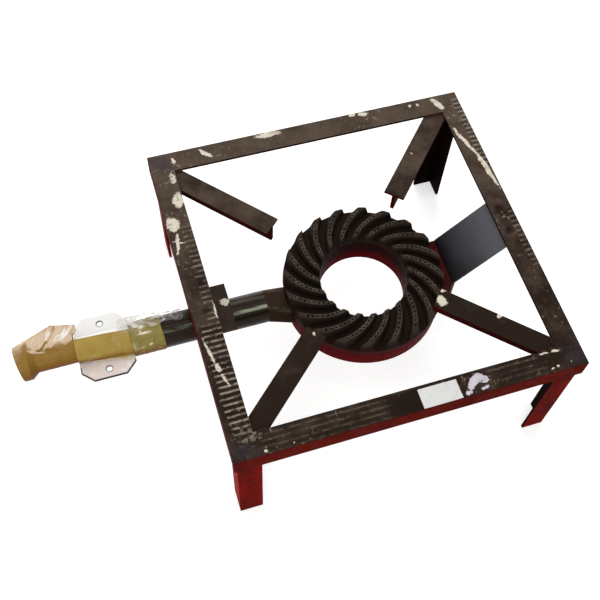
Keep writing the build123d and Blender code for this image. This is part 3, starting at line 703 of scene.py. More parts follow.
def rib_relief(looks, radius, around):
    """Height of the ribs above the groove floor, then the shares of crest, port and port rim.

    A rib lies along around = 0. Its height is linear between foot and crest, slightly rounded, with upright
    ends. The crest falls a little at its inner end, and towards its outer one the rib leans. Ports are pits.
    """
    step = 2 * pi / looks.ribs
    rng = np.random.default_rng(RIB_SEED)
    rib = np.round(around / step).astype(int) % looks.ribs
    off = (around / step + 0.5) % 1 * step - step / 2 + rng.uniform(*BEARING_ERROR, looks.ribs)[rib]
    length = looks.rib_outer - looks.rib_inner
    outward = (radius - looks.rib_inner) / length
    foot = looks.rib_foot / 2 + looks.rib_lean * smooth_step(0.3, 1, outward) * np.sign(off)
    flank = np.clip((foot - np.abs(off)) / (foot - looks.rib_crest / 2), 0, 1)
    ends = smooth_step(looks.rib_inner - 0.2 * MM, looks.rib_inner + 0.5 * MM, radius)
    ends = ends * smooth_step(looks.rib_outer + 0.4 * MM, looks.rib_outer - 0.1 * MM, radius)
    part = (flank + smooth_step(0, 1, flank)) / 2 * ends
    inside = np.clip((radius - looks.rib_inner) / looks.crest_run, 0, 1)
    full = looks.crest - looks.plate - looks.crest_fall * (1 - inside)
    full = full + rng.uniform(*CREST_ERROR, looks.ribs)[rib] * MM
    tip = looks.rim_fall + rng.uniform(*TIP_ERROR, looks.ribs)[rib] * MM
    full = full + tip * smooth_step(FALL_START, 1, outward)
    pitch = (looks.port_last - looks.port_first) / (looks.ports - 1)
    index = np.clip(np.round((radius - looks.port_first) / pitch), 0, looks.ports - 1)
    nearest = looks.port_first + index * pitch
    lag = looks.rib_twist * (nearest - radius) / length
    away = np.hypot(radius - nearest, radius * (off + lag)) / looks.port_r
    port = smooth_step(1.3, 0.75, away)
    rim = smooth_step(1.9, 1.5, away) * smooth_step(1.0, 1.3, away)
    return (full - looks.port_depth * port) * part, part, port * part, rim * part


def head_surface(looks):
    """Points of the head, as rows along its outline and columns round it, with crest, port and rim values.

    The columns turn with the ribs, so that a rib lies along its columns.
    """
    profile = head_profile(looks)
    on_top = (np.arange(len(profile)) < HEAD_ROWS)[:, None]
    around = np.linspace(0, 2 * pi, HEAD_COLUMNS, endpoint=False)[None, :]
    radius = np.repeat(profile[:, :1], HEAD_COLUMNS, 1)
    length = looks.rib_outer - looks.rib_inner
    bearing = around + looks.rib_twist * np.clip((looks.rib_outer - radius) / length, 0, 1)
    relief, *shares = rib_relief(looks, radius, around)
    height = profile[:, 1:] + np.where(on_top, relief, 0)
    over_neck = (np.cos(bearing) < 0) & (np.abs(radius * np.sin(bearing)) < looks.notch)
    height = np.where(over_neck, np.maximum(height, 0), height)
    seat = HEAD_HIGH.z - looks.crest
    points = np.stack([BURNER_X + radius * np.cos(bearing), radius * np.sin(bearing), seat + height], -1)
    grain = waves(points, 3.2 * MM, CAST_SEEDS[0]) + 0.7 * waves(points, 1.5 * MM, CAST_SEEDS[1])
    points[..., 2] += np.where(on_top, grain * looks.grain * 0.6, 0)
    return points, [np.where(on_top, share, 0) for share in shares]


def head_iron(looks):
    """Sooty cast iron, rubbed grey on the rib crests, with a brown tint here and there."""
    iron = Finish("head_iron")
    height = iron.total(iron.value("crest"), iron.swing(0.6, (4, 5, 0.68)))
    flank = iron.mix(iron.blots((30, 4, 0.6), 0.5, 0.72), looks.flank_colour, looks.rust)
    base = iron.mix(iron.span(height, 0.25, 0.75), looks.groove_colour, flank)
    back = iron.span(iron.axis("Y", iron.wander(20, 30)), 0.0, HEAD_R, high=0.65)
    crest = iron.mix(back, looks.crest_colour, looks.back_colour)
    base = iron.mix(iron.span(height, 0.8, 1.06), base, crest)
    burr = iron.product(iron.value("rim"), iron.blots((11, 6, 0.72), 0.4, 0.66))
    base = iron.mix(burr, base, looks.rim_colour)
    # Ports darkened: soot, and painted shade of their depth
    base = iron.mix(iron.span(iron.value("port"), 0.15, 0.6), base, looks.port_soot_and_shade)
    seat = HEAD_HIGH.z - looks.crest
    low = iron.total(iron.axis("Z"), iron.product(iron.noise(6, 4, 0.6), 3 * MM))
    base = iron.mix(iron.span(low, seat + 3.6 * MM, seat + 0.5 * MM, high=0.85), base, looks.skirt)
    grain = iron.grain((0.9, 4, 0.65), (2.5, 2))
    return iron.close(base, level=0.015, dull=(3, 4, 0.42, 0.66), relief=grain, depth=0.3)


def tube_colour(paint, looks, ground, highlight_narrow):
    """Dark paint, greyed on its far side by dirt and a painted reflection of the surroundings, with a pale
    painted highlight line along it, stronger towards the burner.
    """
    far = paint.span(paint.vector("DOT_PRODUCT", paint.normal, DUST_AND_SHEEN_FACING), 0.82, 1.0)
    dust_and_sheen = paint.product(far, paint.blots((9, 6, 0.68), 0.3, 0.66, high=0.5, stretch=(3, 1, 1)))
    # Pale line along the tube: a painted highlight, broken up and fading away from the burner
    line = paint.span(paint.vector("DOT_PRODUCT", paint.normal, HIGHLIGHT_FACING), highlight_narrow, 1.0)
    gaps = paint.blots((7, 5, 0.66), 0.32, 0.62, stretch=(3, 0.5, 0.5))
    fade = paint.span(paint.axis("X"), BRACKET_LOW.x - BAR_WIDTH, BRACKET_HIGH.x, 0.3, 0.85)
    dusty_and_sheened = paint.mix(dust_and_sheen, ground, looks.tube_dust_and_sheen)
    return paint.mix(paint.product(line, gaps, fade), dusty_and_sheened, looks.tube_highlight)


def body_iron(looks, mixer):
    """Cast body: dark red paint, sooty near the seat, with painted shade inside the hole, and browned on the
    inlet neck, which carries the tube's painted reflection and highlight.
    """
    iron = Finish("body_iron")
    seat = HEAD_HIGH.z - looks.crest
    soot = iron.total(iron.axis("Z"), iron.product(iron.noise(8, 5, 0.65), 14 * MM))
    base = iron.mix(iron.span(soot, seat - 6 * MM, seat + 8 * MM), looks.body_red, looks.body_dark)
    base = iron.mix(iron.blots((14, 4, 0.6), 0.48, 0.78, high=0.5), base, looks.body_dark)
    # Painted shade on the wall inside the burner's hole
    reach = looks.inner + 2 * MM
    hole = iron.patch(iron.place, (BURNER_X, 0, seat), (reach, reach, 10.0), 0.02)
    upper = iron.span(soot, seat - 18 * MM, seat - 4 * MM)
    base = iron.mix(iron.product(hole, upper), base, looks.hole_shade)
    right = BURNER_X + HEAD_R
    base = iron.mix(iron.span(iron.axis("X"), right - 3 * MM, right + 1 * MM, high=0.75), base, looks.pad)
    left = BURNER_X - HEAD_R
    # The inlet neck takes the tube's colour, with its painted reflection and painted highlight
    neck = iron.span(iron.axis("X", iron.wander(5, 3)), left + 6 * MM, left)
    base = iron.mix(neck, base, tube_colour(iron, mixer, looks.neck, highlight_narrow=0.93))
    grain = iron.grain((1.1, 4, 0.6), (4, 2))
    return iron.close(base, level=0.005, dull=(4, 4, 0.32, 0.52), relief=grain, depth=0.3)


class STOVE_OT_burner(Operator):
    """Cast the ribbed burner head and finish the burner's body"""

    bl_idname = "stove.burner"
    bl_label = "Finish the burner"

    def execute(self, context):
        looks = context.scene.stove_burner
        points, (crest, port, rim) = head_surface(looks)
        faces = grid_faces(*points.shape[:2], round_rows=True, round_columns=True)
        make_piece("ribbed_head", points, faces, head_iron(looks), "burner_head", ["burner_head"],
                   "burner_casting", crest=crest, port=port, rim=rim)
        dress(body_iron(looks, context.scene.stove_mixer), "burner_body")
        return {"FINISHED"}


# Tube, strap, bracket and small metal


def tube_enamel(looks):
    """Brushed-on gloss paint with a little orange peel."""
    paint = Finish("tube_enamel")
    peel = paint.total(paint.noise(5, 2), paint.product(paint.noise(1, 3), 0.3))
    base = tube_colour(paint, looks, looks.tube, highlight_narrow=0.986)
    paint.set(Specular_Tint=looks.sheen)
    dull = (8, 4, 0.14, 0.3)
    return paint.close(base, level=looks.gloss, dull=dull, relief=peel, depth=0.12, limits=(0.25, 0.75))


def strap_enamel(looks):
    """Satin paint: pale grey-blue near the frame as a painted reflection of the surroundings, going to sooty
    black towards the burner.
    """
    paint = Finish("strap_enamel")
    fade = paint.total(paint.axis("X"), paint.product(paint.noise(22, 4, 0.55), 12 * MM))
    # From sooty black by the burner to the painted reflection near the frame
    heat = paint.span(fade, STRAP_LOW.x - 4 * MM, STRAP_HIGH.x - 6 * MM)
    base = paint.mix(heat, looks.strap_soot, looks.strap)
    grain = paint.grain((1.2, 3), (7, 2))
    return paint.close(base, level=0.04, dull=(10, 4, 0.26, 0.4), relief=grain, depth=0.1)


def bracket_enamel(looks, stand):
    """Dull paint with a blot of paper near the bracket's end."""
    paint = Finish("bracket_enamel")
    base = paint.mix(paint.blots((12, 5, 0.65), 0.35, 0.7), stand.top_dark, looks.bracket)
    blot = torn_paper(paint, BRACKET_RESIDUE, BRACKET_HIGH.z)
    base = paint.mix(blot, base, stand.residue)
    relief = paint.total(paint.grain((1.1, 3), (6, 2)), blot)
    return paint.close(base, level=0.06, dull=(6, 4, 0.32, 0.5), relief=relief, depth=0.2)


def plain_metal(name, base, stain, roughness, metallic):
    """Metal with stains, fine scratches and grain."""
    metal = Finish(name)
    scratches = metal.noise(1.2, 3, 0.6, stretch=(9, 1, 1))
    metal.set(Base_Color=metal.mix(metal.blots((11, 5, 0.6), 0.5, 0.8), base, stain), Metallic=metallic)
    metal.set(Roughness=metal.span(scratches, 0.3, 0.7, roughness, roughness + 0.2))
    metal.bump(scratches, 0.08)
    return metal


def plate_zinc(looks):
    """Dull zinc of the saddle plate with stains, paler on its far ear and darker towards its near one, partly
    stains and partly painted light;
    dark on its sheared side faces, partly the bare steel and partly painted shade; and a band of painted
    shade round the near ear and the holes.

    The rim of the near ear is where the place comes close to the plate's sides, ends or cut corners.
    """
    metal = plain_metal("plate_zinc", looks.zinc, looks.zinc_stain, 0.42, 0.15)
    low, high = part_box("saddle_plate")
    middle = (low.x + high.x) / 2
    # Far ear paler, near ear darker: painted light over the real stains
    near_ear_shade = metal.span(metal.axis("Y"), -20 * MM, 20 * MM, 0.3, -0.2)
    stains = metal.span(metal.total(metal.noise(11, 5, 0.6), near_ear_shade), 0.5, 0.8)
    shade = metal.mix(stains, looks.zinc, looks.zinc_stain)
    apart = metal.vector("ABSOLUTE", metal.vector("SUBTRACT", metal.place, (middle, 0.0, 0.0)))
    long = metal.math("SUBTRACT", metal.axis("X", apart), (high.x - low.x) / 2)
    wide = metal.math("SUBTRACT", metal.axis("Y", apart), high.y)
    # Dark band round the near ear's edge: painted shade
    cut = metal.product(metal.total(long, wide, looks.plate_corner), 0.7)
    rim = metal.span(metal.most(cut, long, wide), -looks.plate_shade_rim, -0.6 * looks.plate_shade_rim)
    near = metal.span(metal.axis("Y"), -TUBE_R, -TUBE_R - 2 * MM)
    dark = metal.product(rim, near)
    # Dark rings round the holes: painted shade
    for side in (-1, 1):
        hole = (middle, side * looks.hole_spacing / 2, 0.0)
        half = (looks.hole_shade_rim, looks.hole_shade_rim, 10.0)
        dark = metal.most(dark, metal.patch(metal.place, hole, half, 0.1, strength=0.7))
    # Side faces dark: the sheared steel's own colour, deepened as painted shade
    upright = metal.math("ABSOLUTE", metal.axis("Z", metal.normal))
    dark = metal.most(dark, metal.span(upright, 0.45, 0.2))
    metal.set(Base_Color=metal.mix(dark, shade, looks.cut_edge_and_shade), Specular_IOR_Level=0.3)
    return metal


class STOVE_OT_metalwork(Operator):
    """Finish the tube, strap, bracket, bolts, horn, plate and jet"""

    bl_idname = "stove.metalwork"
    bl_label = "Finish the metalwork"

    def execute(self, context):
        looks = context.scene.stove_mixer
        iron = plain_metal("horn_iron", looks.iron, looks.tube, 0.45, 0.7)
        dress(tube_enamel(looks), "mixer_tube")
        dress(strap_enamel(looks), "burner_strap")
        dress(bracket_enamel(looks, context.scene.stove_stand), "tube_bracket")
        dress(iron, "venturi_horn", "mouth_plate", "air_shutter")
        dress(plate_zinc(looks), "saddle_plate")
        dress(plain_metal("bolt_zinc", looks.bolt, looks.iron, 0.35, 0.9), "strap_bolts", "strap_washers")
        dress(plain_metal("jet_brass", looks.brass, looks.iron, 0.3, 1.0), "gas_jet", "jet_nut")
        return {"FINISHED"}


# Weld beads
BEAD_ROWS, BEAD_COLUMNS, BEAD_SEED = 44, 10, 70
RIPPLE_PITCH = 1.1 * MM
# A direction that no bead runs along
BEAD_ASIDE = (0.31, 0.17, 0.94)


def bead(start, end, radius, seed):
    """Points of one weld bead: a round section carried along a line, rippled and rounded off at its ends."""
    start, end = np.array(start), np.array(end)
    run = end - start
    length = np.linalg.norm(run)
    side = np.cross(run / length, BEAD_ASIDE)
    side /= np.linalg.norm(side)
    up = np.cross(run / length, side)
    share = np.linspace(0, 1, BEAD_ROWS)[:, None]
    around = np.linspace(0, 2 * pi, BEAD_COLUMNS, endpoint=False)[None, :]
    ripple = 1 + 0.09 * np.abs(np.sin(share * length / RIPPLE_PITCH))
    swell = np.sqrt(np.clip(1 - np.abs(2 * share - 1) ** 14, 0.02, 1))
    spread = radius * ripple * swell * (1 + 0.06 * waves(share * 20, 3.0, seed)[:, None])
    line = start + run * share + side * (0.12 * radius * waves(share * 20, 4.0, seed + 1)[:, None])
    ring = np.cos(around)[..., None] * side + np.sin(around)[..., None] * up
    return line[:, None, :] + spread[..., None] * ring


def support_crossings(corner, x, y):
    """Frame's inner corner over a support, and where the support's edges pass under the frame beside it."""
    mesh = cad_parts[f"{corner}_support"].data
    points = np.empty(3 * len(mesh.vertices))
    mesh.vertices.foreach_get("co", points)
    points = points.reshape(-1, 3)
    top = points[points[:, 2] > SUPPORT_TOP - 0.1 * MM, :2]
    middle = top.mean(0)
    along = np.linalg.svd(top - middle)[2][0]
    along = along * np.sign(along[1] * y)
    side = np.array([-along[1], along[0]])
    inner = np.array([STAND_X + x * (STAND_HALF - BAR_WIDTH), y * (STAND_HALF - BAR_WIDTH)])
    offsets = (top - middle) @ side
    starts = [middle + side * offset for offset in (offsets.min(), offsets.max())]
    return inner, [start + along * ((inner - start) / along).min() for start in starts]


def bead_lines(radius):
    """Start and end of every bead: legs under the bars, supports, strap and bracket on the frame, tube."""
    face = STAND_HALF - BAR_WALL + 0.35 * radius
    low = BAR_BOTTOM - 0.35 * radius
    near, far = STAND_HALF - BAR_WALL - BAR_WIDTH + 2.5 * MM, STAND_HALF - BAR_WALL - 1.5 * MM
    over, under = SUPPORT_TOP + 0.2 * radius, SUPPORT_TOP - 0.3 * radius
    inner = STAND_X + STAND_HALF - BAR_WIDTH
    wall = BRACKET_LOW.x + 0.3 * radius
    lines = []
    for corner, x, y in zip(CORNERS, (-1, 1, -1, 1), (-1, -1, 1, 1)):
        lines.append(((STAND_X + x * face, y * near, low), (STAND_X + x * face, y * far, low)))
        lines.append(((STAND_X + x * near, y * face, low), (STAND_X + x * far, y * face, low)))
        start, ends = support_crossings(corner, x, y)
        lines += [((*start, over), (*end, over)) for end in ends]
    for y in (-1, 1):
        edge = y * (STRAP_HIGH.y + 0.3 * radius)
        lines.append(((inner + 3 * MM, edge, under), (STRAP_HIGH.x - 2 * MM, edge, under)))
        edge = y * (BRACKET_HIGH.y + 0.3 * radius)
        lines.append(((wall, edge, BAR_BOTTOM + 2 * MM), (wall, edge, SUPPORT_TOP - 2 * MM)))
        side, height = y * TUBE_R * 0.42, AXIS_Z + TUBE_R * 0.955
        lines.append(((BRACKET_LOW.x + 4 * MM, side, height), (BRACKET_HIGH.x - 3 * MM, side, height)))
    return lines


def weld_steel(looks):
    """Rippled weld under paint, with soot between the ripples."""
    steel = Finish("weld_steel")
    base = steel.mix(steel.blots((4, 5, 0.65), 0.38, 0.66), looks.weld, looks.scorch)
    grain = steel.noise(0.8, 3, 0.6)
    return steel.close(base, level=0.15, dull=(2, 3, 0.36, 0.6), relief=grain, depth=0.15)


class STOVE_OT_welds(Operator):
    """Lay the weld beads that hold legs, supports, strap and bracket"""

    bl_idname = "stove.welds"
    bl_label = "Lay the welds"

    def execute(self, context):
        looks = context.scene.stove_stand
        lines = bead_lines(looks.weld_r)
        beads = [bead(*line, looks.weld_r, BEAD_SEED + 2 * index) for index, line in enumerate(lines)]
        side_faces = grid_faces(BEAD_ROWS, BEAD_COLUMNS, round_columns=True)
        faces = []
        for index in range(len(beads)):
            first = index * BEAD_ROWS * BEAD_COLUMNS
            last = first + (BEAD_ROWS - 1) * BEAD_COLUMNS
            faces += (side_faces + first).tolist()
            faces.append(list(range(first, first + BEAD_COLUMNS)))
            faces.append(list(range(last + BEAD_COLUMNS - 1, last - 1, -1)))
        make_piece("weld_beads", np.stack(beads), faces, weld_steel(looks), slot="stand_paint")
        return {"FINISHED"}


# Packing tape
MOUTH_ROWS, TUBE_ROWS, FILM_COLUMNS = 130, 70, 240
MOUTH_SEEDS, STRIP_SEED, TUBE_SEED, LOOSE_SEED = (21, 22), 31, 43, 45
# Film on the mouth: shares of its rows, and their distances from the mouth and radii in millimetres
LIP_SHARES = (0, 0.02, 0.05, 0.09)
LIP_RADII = (14.6, 16, 17.4, 17.7)
ROW_SHARES = (*LIP_SHARES, 0.15, 0.24, 1)
ROW_ALONG = (-0.8, -1.3, -0.9, 0.8, 7, 14)
# The horn under that film and the ridge of the loose film above it, up to the film's end
HORN_ALONG = (0, 7.6, 14.5)
HORN_RADII = (17.7, 17.6, 11.9, 11.8)
RIDGE_ALONG = (-4, 8, 17, 36)
RIDGE_RADII = (19.5, 23.5, 26.5)
RIDGE_END = 27.5
# How far the lip reaches out and the loose film's flap reaches back on the ridge's side
LIP_REACH, FLAP_REACH = 4.5 * MM, 5 * MM
# How far a fold of the loose film runs along the mixer while it goes round by one radian
FOLD_SLANT = 30 * MM
# Strip over the plate: shares of its rows with the near edge's bearing in degrees, and its reach on the ear
NEAR_EDGE = ((0, 0.25, 0.5, 1), (176, 187, 182.4, 173))
EAR_REACH = ((0, 0.25, 1), (0.2, 0.6, 7))
# Wrinkles on the tube's end, pale as painted highlights: share of the rows and its spread, bearing in degrees
# and its spread in radians
WRINKLES = ((0.38, 0.09, 80, 0.13), (0.45, 0.16, 106, 0.05))


def round_place(along, radius, bearing):
    """Points about the mixer's own axis, for fields that vary over the film."""
    return np.stack(np.broadcast_arrays(along, radius * np.cos(bearing), radius * np.sin(bearing)), -1)


def mixer_points(along, radius, bearing, height):
    """Points round an axis at that height: distance from the mouth, radius, bearing from +Y towards +Z."""
    points = (MOUTH_X + along, radius * np.cos(bearing), height + radius * np.sin(bearing))
    return np.stack(np.broadcast_arrays(*points), -1)


def tent(turn, core, peak):
    """Film stretched over a round core and a ridge beside it, as a multiple of the core's radius.

    The ridge stands at the radius peak. Both sides of the film are flat and tangent to the core:
    1 / cos(spread - distance from the ridge) near it, with cos(spread) = core / peak, and 1 elsewhere.
    """
    spread = np.arccos(np.clip(core / peak, 0, 1))
    return 1 / np.cos(np.maximum(spread - np.abs(turn), 0))


def mouth_form(looks, turn, far):
    """Distance from the mouth, radius under the film, and the film's own as a multiple of that."""
    end = (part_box("mouth_tape")[1].x - MOUTH_X) / MM
    share = np.linspace(0, 1, MOUTH_ROWS)[:, None] ** 1.1
    on_lip = share < LIP_SHARES[-1]
    along = np.interp(share, ROW_SHARES, (*ROW_ALONG, end)) * MM
    along = along - LIP_REACH * far * smooth_step(17 * MM, 0, along)
    lip = np.interp(share, LIP_SHARES, LIP_RADII) * (1 + 0.1 * far**4)
    horn = np.interp(along / MM, (*HORN_ALONG, end), HORN_RADII)
    core = np.where(on_lip, lip, horn) * MM
    ridge_radii = (*RIDGE_RADII, looks.tent / MM, RIDGE_END)
    peak = np.interp(along / MM, (*RIDGE_ALONG, end), ridge_radii) * MM
    lift = np.where(on_lip, 1, tent(turn, core, peak))
    return along + FLAP_REACH * smooth_step(1.4, 1.8, lift) * smooth_step(0.7, 1, share), core, lift


def film_finish(name, looks, tight, loose, depth, coat=0.15, lit_crown=None):
    """Glossy tape: tight, loose and full of air by the value that the mesh carries; paler where tight tape
    faces up as painted light, with painted glints, and dark underneath as painted shade.
    """
    film = Finish(name)
    upward = film.axis("Z", film.normal)
    lift = film.total(film.value("loose"), film.swing(0.5, (8, 5, 0.62), stretch=(1.6, 1, 1)))
    deep = film.blots((14, 3, 0.5), 0.4, 0.7, high=0.16, shift=4.2)
    # Paler where the tight tape faces up: painted light
    if lit_crown is not None:
        tight = film.mix(film.span(upward, 0.45, 0.95, high=0.7), tight, lit_crown)
    base = film.mix(film.span(lift, 0.05, 0.6), film.mix(deep, tight, looks.under), loose)
    # Painted glints
    base = film.mix(film.span(lift, 0.72, 1.0), base, looks.glint)
    # Darker where the tape faces down, less where it is loose: painted shade
    below = film.product(film.span(upward, 0.6, -0.2), film.span(lift, 0.1, 0.5, 1.0, 0.35))
    grain = film.grain((2.4, 3, 0.7, (1, 2, 1)), (6, 2))
    film.set(Coat_Weight=coat, Coat_Roughness=0.1, Coat_IOR=1.3)
    base = film.mix(below, base, looks.under)
    return film.close(base, level=0.06, dull=(4, 3, 0.24, 0.4), relief=grain, depth=depth)


class STOVE_OT_tape(Operator):
    """Wind the packing tape over the horn, the saddle plate and the tube's end"""

    bl_idname = "stove.tape"
    bl_label = "Wind the tape"

    def execute(self, context):
        looks = context.scene.stove_tape
        bearing = np.linspace(0, 2 * pi, FILM_COLUMNS, endpoint=False)[None, :]
        self.mouth(looks, bearing)
        self.saddle(looks)
        self.tube_end(looks, bearing)
        self.loose_end(looks)
        return {"FINISHED"}

    def wind(self, name, looks, along, radius, bearing, height, loose, finish, node):
        """Closed film round an axis at that height, in place of a CAD node: outer skin, then inner skin."""
        radius, loose = np.broadcast_arrays(radius, loose)
        outer = mixer_points(along, radius, bearing, height)
        inner = mixer_points(along, radius - looks.wall, bearing, height)
        points = np.concatenate([outer, inner[::-1]])
        faces = grid_faces(*points.shape[:2], round_rows=True, round_columns=True)[:, ::-1]
        make_piece(name, points, faces, finish, replaced=[node], slot="packing_tape",
                   loose=np.concatenate([loose, loose[::-1]]))

    def mouth(self, looks, bearing):
        """Film rolled over the lip and tight under the neck; above it a crumpled tent with one long fold."""
        turn = wrap(bearing - looks.ridge)
        far = (1 + np.cos(turn)) / 2
        along, core, lift = mouth_form(looks, turn, far)
        # Creases, the long fold and the streak at its foot
        fold, shade = facets(round_place(along, 16 * MM, bearing), 8 * MM, MOUTH_SEEDS[0], 160)
        slant = along + FOLD_SLANT * turn
        ripple, spark = facets(round_place(slant, 7 * MM, turn), 4 * MM, MOUTH_SEEDS[1], 400)
        free = smooth_step(1.0, 1.12, lift)
        crumpled = free * smooth_step(0.05, 0.4, np.abs(turn))
        near = free * smooth_step(-0.05, 0.15, turn)
        apart = slant / MM - 37
        long_fold = bell(apart, 1.4) * near
        behind = bell(apart - 3.4, 1.7) * near
        ahead = along / MM
        streak = bell(turn - 0.7 - 0.014 * (ahead - 10), 0.11)
        streak = streak * smooth_step(6, 12, ahead) * smooth_step(29, 23, ahead)
        radius = core * lift + (0.12 + crumpled) * np.maximum(fold, -looks.crinkle) + 0.2 * MM
        radius = radius + looks.crinkle * (long_fold + 0.4 * streak)
        radius = radius + 0.6 * crumpled * np.maximum(ripple, -looks.crinkle)
        # How pale it is: more where the film is free; painted glints and painted shade on the facets, a
        # painted highlight on the long fold and the streak at its foot, painted shade just behind the fold,
        # and a paler orange-peach at the lip's far side as a painted highlight
        glints = 0.45 * smooth_step(0.55, 0.9, spark) - 0.3 * smooth_step(0.4, 0.1, spark)
        pale = smooth_step(1.0, 1.3, lift) * (0.46 + 0.36 * shade + glints - 0.25 * bell(turn, 0.06))
        loose = pale + 0.4 * long_fold - 0.3 * behind + 0.5 * streak
        loose = loose + 0.4 * far**3 * smooth_step(8, 0, ahead)
        finish = film_finish("amber_film", looks, looks.amber, looks.peach, 0.5, lit_crown=looks.tan)
        self.wind("mouth_film", looks, along, radius, bearing, HORN_Z, loose, finish, "mouth_tape")

    def saddle(self, looks):
        """Strip over the plate's hump, whose near edge runs from the hump out on to the pale ear."""
        low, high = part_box("saddle_tape")
        share = np.linspace(0, 1, 70)[:, None]
        across = np.linspace(0, 1, 90)[None, :]
        along = low.x - MOUTH_X + (high.x - low.x) * share
        height = HORN_Z + (AXIS_Z - HORN_Z) * share
        hump = (high.z - HORN_Z) * (1 - share) + np.hypot(high.y, low.z - AXIS_Z) * share
        near = np.radians(np.interp(share, *NEAR_EDGE))
        start = np.radians(58 + 15 * share)
        on_hump = 0.8
        bearing = start + (near - start) * np.minimum(across / on_hump, 1)
        flat = np.clip((across - on_hump) / (1 - on_hump), 0, 1)
        reach = np.interp(share, *EAR_REACH) * MM
        spread = np.stack(np.broadcast_arrays(0, -flat * reach, 0.2 * MM * (flat > 0)), -1)
        fold, shade = facets(round_place(along, hump, bearing), 12 * MM, STRIP_SEED, 24)
        top = mixer_points(along, hump - 0.2 * MM + 0.12 * fold, bearing, height) + spread
        bottom = mixer_points(along, hump - 0.78 * MM, bearing, height) + spread
        loose = 0.25 * shade - 0.1 + 0.5 * smooth_step(0.0, 0.8, flat)
        finish = film_finish("mustard_film", looks, looks.mustard, looks.mustard_pale, 0.25)
        make_sheet("saddle_film", top, bottom, finish, turned=True, loose=loose,
                   replaced=["saddle_tape"], slot="packing_tape")

    def tube_end(self, looks, bearing):
        """Film round the tube's end, with a few pockets of air and two wrinkles on top, all pale as painted
        highlights.
        """
        low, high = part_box("tube_tape")
        share = np.linspace(0, 1, TUBE_ROWS)[:, None]
        along = low.x - MOUTH_X + (high.x - low.x + 0.5 * MM * np.sin(3 * bearing)) * share
        upper = smooth_step(radians(110), radians(40), np.abs(wrap(bearing - radians(85))))
        fold, shade = facets(round_place(along, 18 * MM, bearing), 7 * MM, TUBE_SEED)
        wrinkle = sum(bell(share - at, long) * bell(bearing - radians(degrees), wide)
                      for at, long, degrees, wide in WRINKLES)
        radius = high.z - AXIS_Z - 0.1 * MM + np.clip(fold, -0.3 * MM, looks.crinkle) * (0.25 + 0.5 * upper)
        radius = radius + 0.5 * looks.crinkle * wrinkle
        # Pale pockets and wrinkles: painted glints on top of the film
        loose = upper * (0.05 + 0.1 * shade + 0.9 * smooth_step(0.84, 0.95, shade)) + wrinkle
        finish = film_finish("olive_film", looks, looks.olive, looks.mustard_pale, 0.3, 0.12)
        self.wind("tube_film", looks, along, radius, bearing, AXIS_Z, loose, finish, "tube_tape")

    def loose_end(self, looks):
        """Free end of clear tape: a crumpled sheet that leaves the tube's top and stands off behind it."""
        low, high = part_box("tube_tape")
        share = np.linspace(0, 1, 90)[:, None]
        across = np.linspace(0, 1, 40)[None, :]
        along = low.x - MOUTH_X - 9 * MM + (high.x - low.x + 32 * MM) * share + 1.5 * MM * np.sin(9 * across)
        bearing = radians(88) - radians(70) * across + 0.08 * np.sin(15 * share)
        fold, shade = facets(round_place(along, 20 * MM, bearing), 6 * MM, LOOSE_SEED, 90)
        stand_off = 4.5 * MM * smooth_step(1.0, 0.2, share) * smooth_step(0.05, 0.7, across)
        radius = high.z - AXIS_Z + 1.1 * MM + stand_off + np.maximum(fold, -0.5 * MM) * (0.5 + across)
        top = mixer_points(along, radius, bearing, AXIS_Z)
        bottom = mixer_points(along, radius - 0.15 * MM, bearing, AXIS_Z)
        finish = film_finish("clear_film", looks, looks.clear, looks.clear, 0.3)
        finish.set(Alpha=finish.span(finish.value("loose"), 0.45, 1.0, 0.08, 0.6))
        make_sheet("loose_film", top, bottom, finish, loose=shade, slot="packing_tape")


# Paper on the front bar
PAPER_WALL, PAPER_GAP = 0.1 * MM, 0.02 * MM
LABEL_SEED = 52
# Torn bits of paper: half width, seed, and path in plan from the stand's middle, in millimetres
SCRAPS = {
    "torn_scrap": (
        4.1, 61, [(56.8, -176), (59.4, -171.5), (64.5, -167), (70, -165.8), (74, -168), (74.8, -173)]),
    "torn_chip_left": (1.9, 64, [(51, -178.8), (54.5, -178.2), (58, -178)]),
    "torn_chip_right": (1.5, 67, [(67.5, -178.2), (72, -177.8), (76, -176.6)]),
}


def stick_paper(name, x, y, lift, finish):
    """Closed sheet on the bar's top: a lifted upper grid over a lower grid that touches the bar."""
    top = np.stack([STAND_X + x, y, STAND_HIGH.z + PAPER_WALL + lift], -1)
    bottom = np.stack([STAND_X + x, y, STAND_HIGH.z + PAPER_GAP + np.maximum(lift - PAPER_WALL, 0)], -1)
    make_sheet(name, top, bottom, finish)


def paper_finish(name, base, stain, amount):
    """Matt paper with fibres and dirty smears."""
    paper = Finish(name)
    base = paper.mix(paper.blots((7, 5, 0.65), 0.45, 0.75, high=amount), base, stain)
    fibres = paper.noise(0.8, 4, 0.7)
    return paper.close(base, level=0.2, dull=(2, 3, 0.6, 0.8), relief=fibres, depth=0.06)


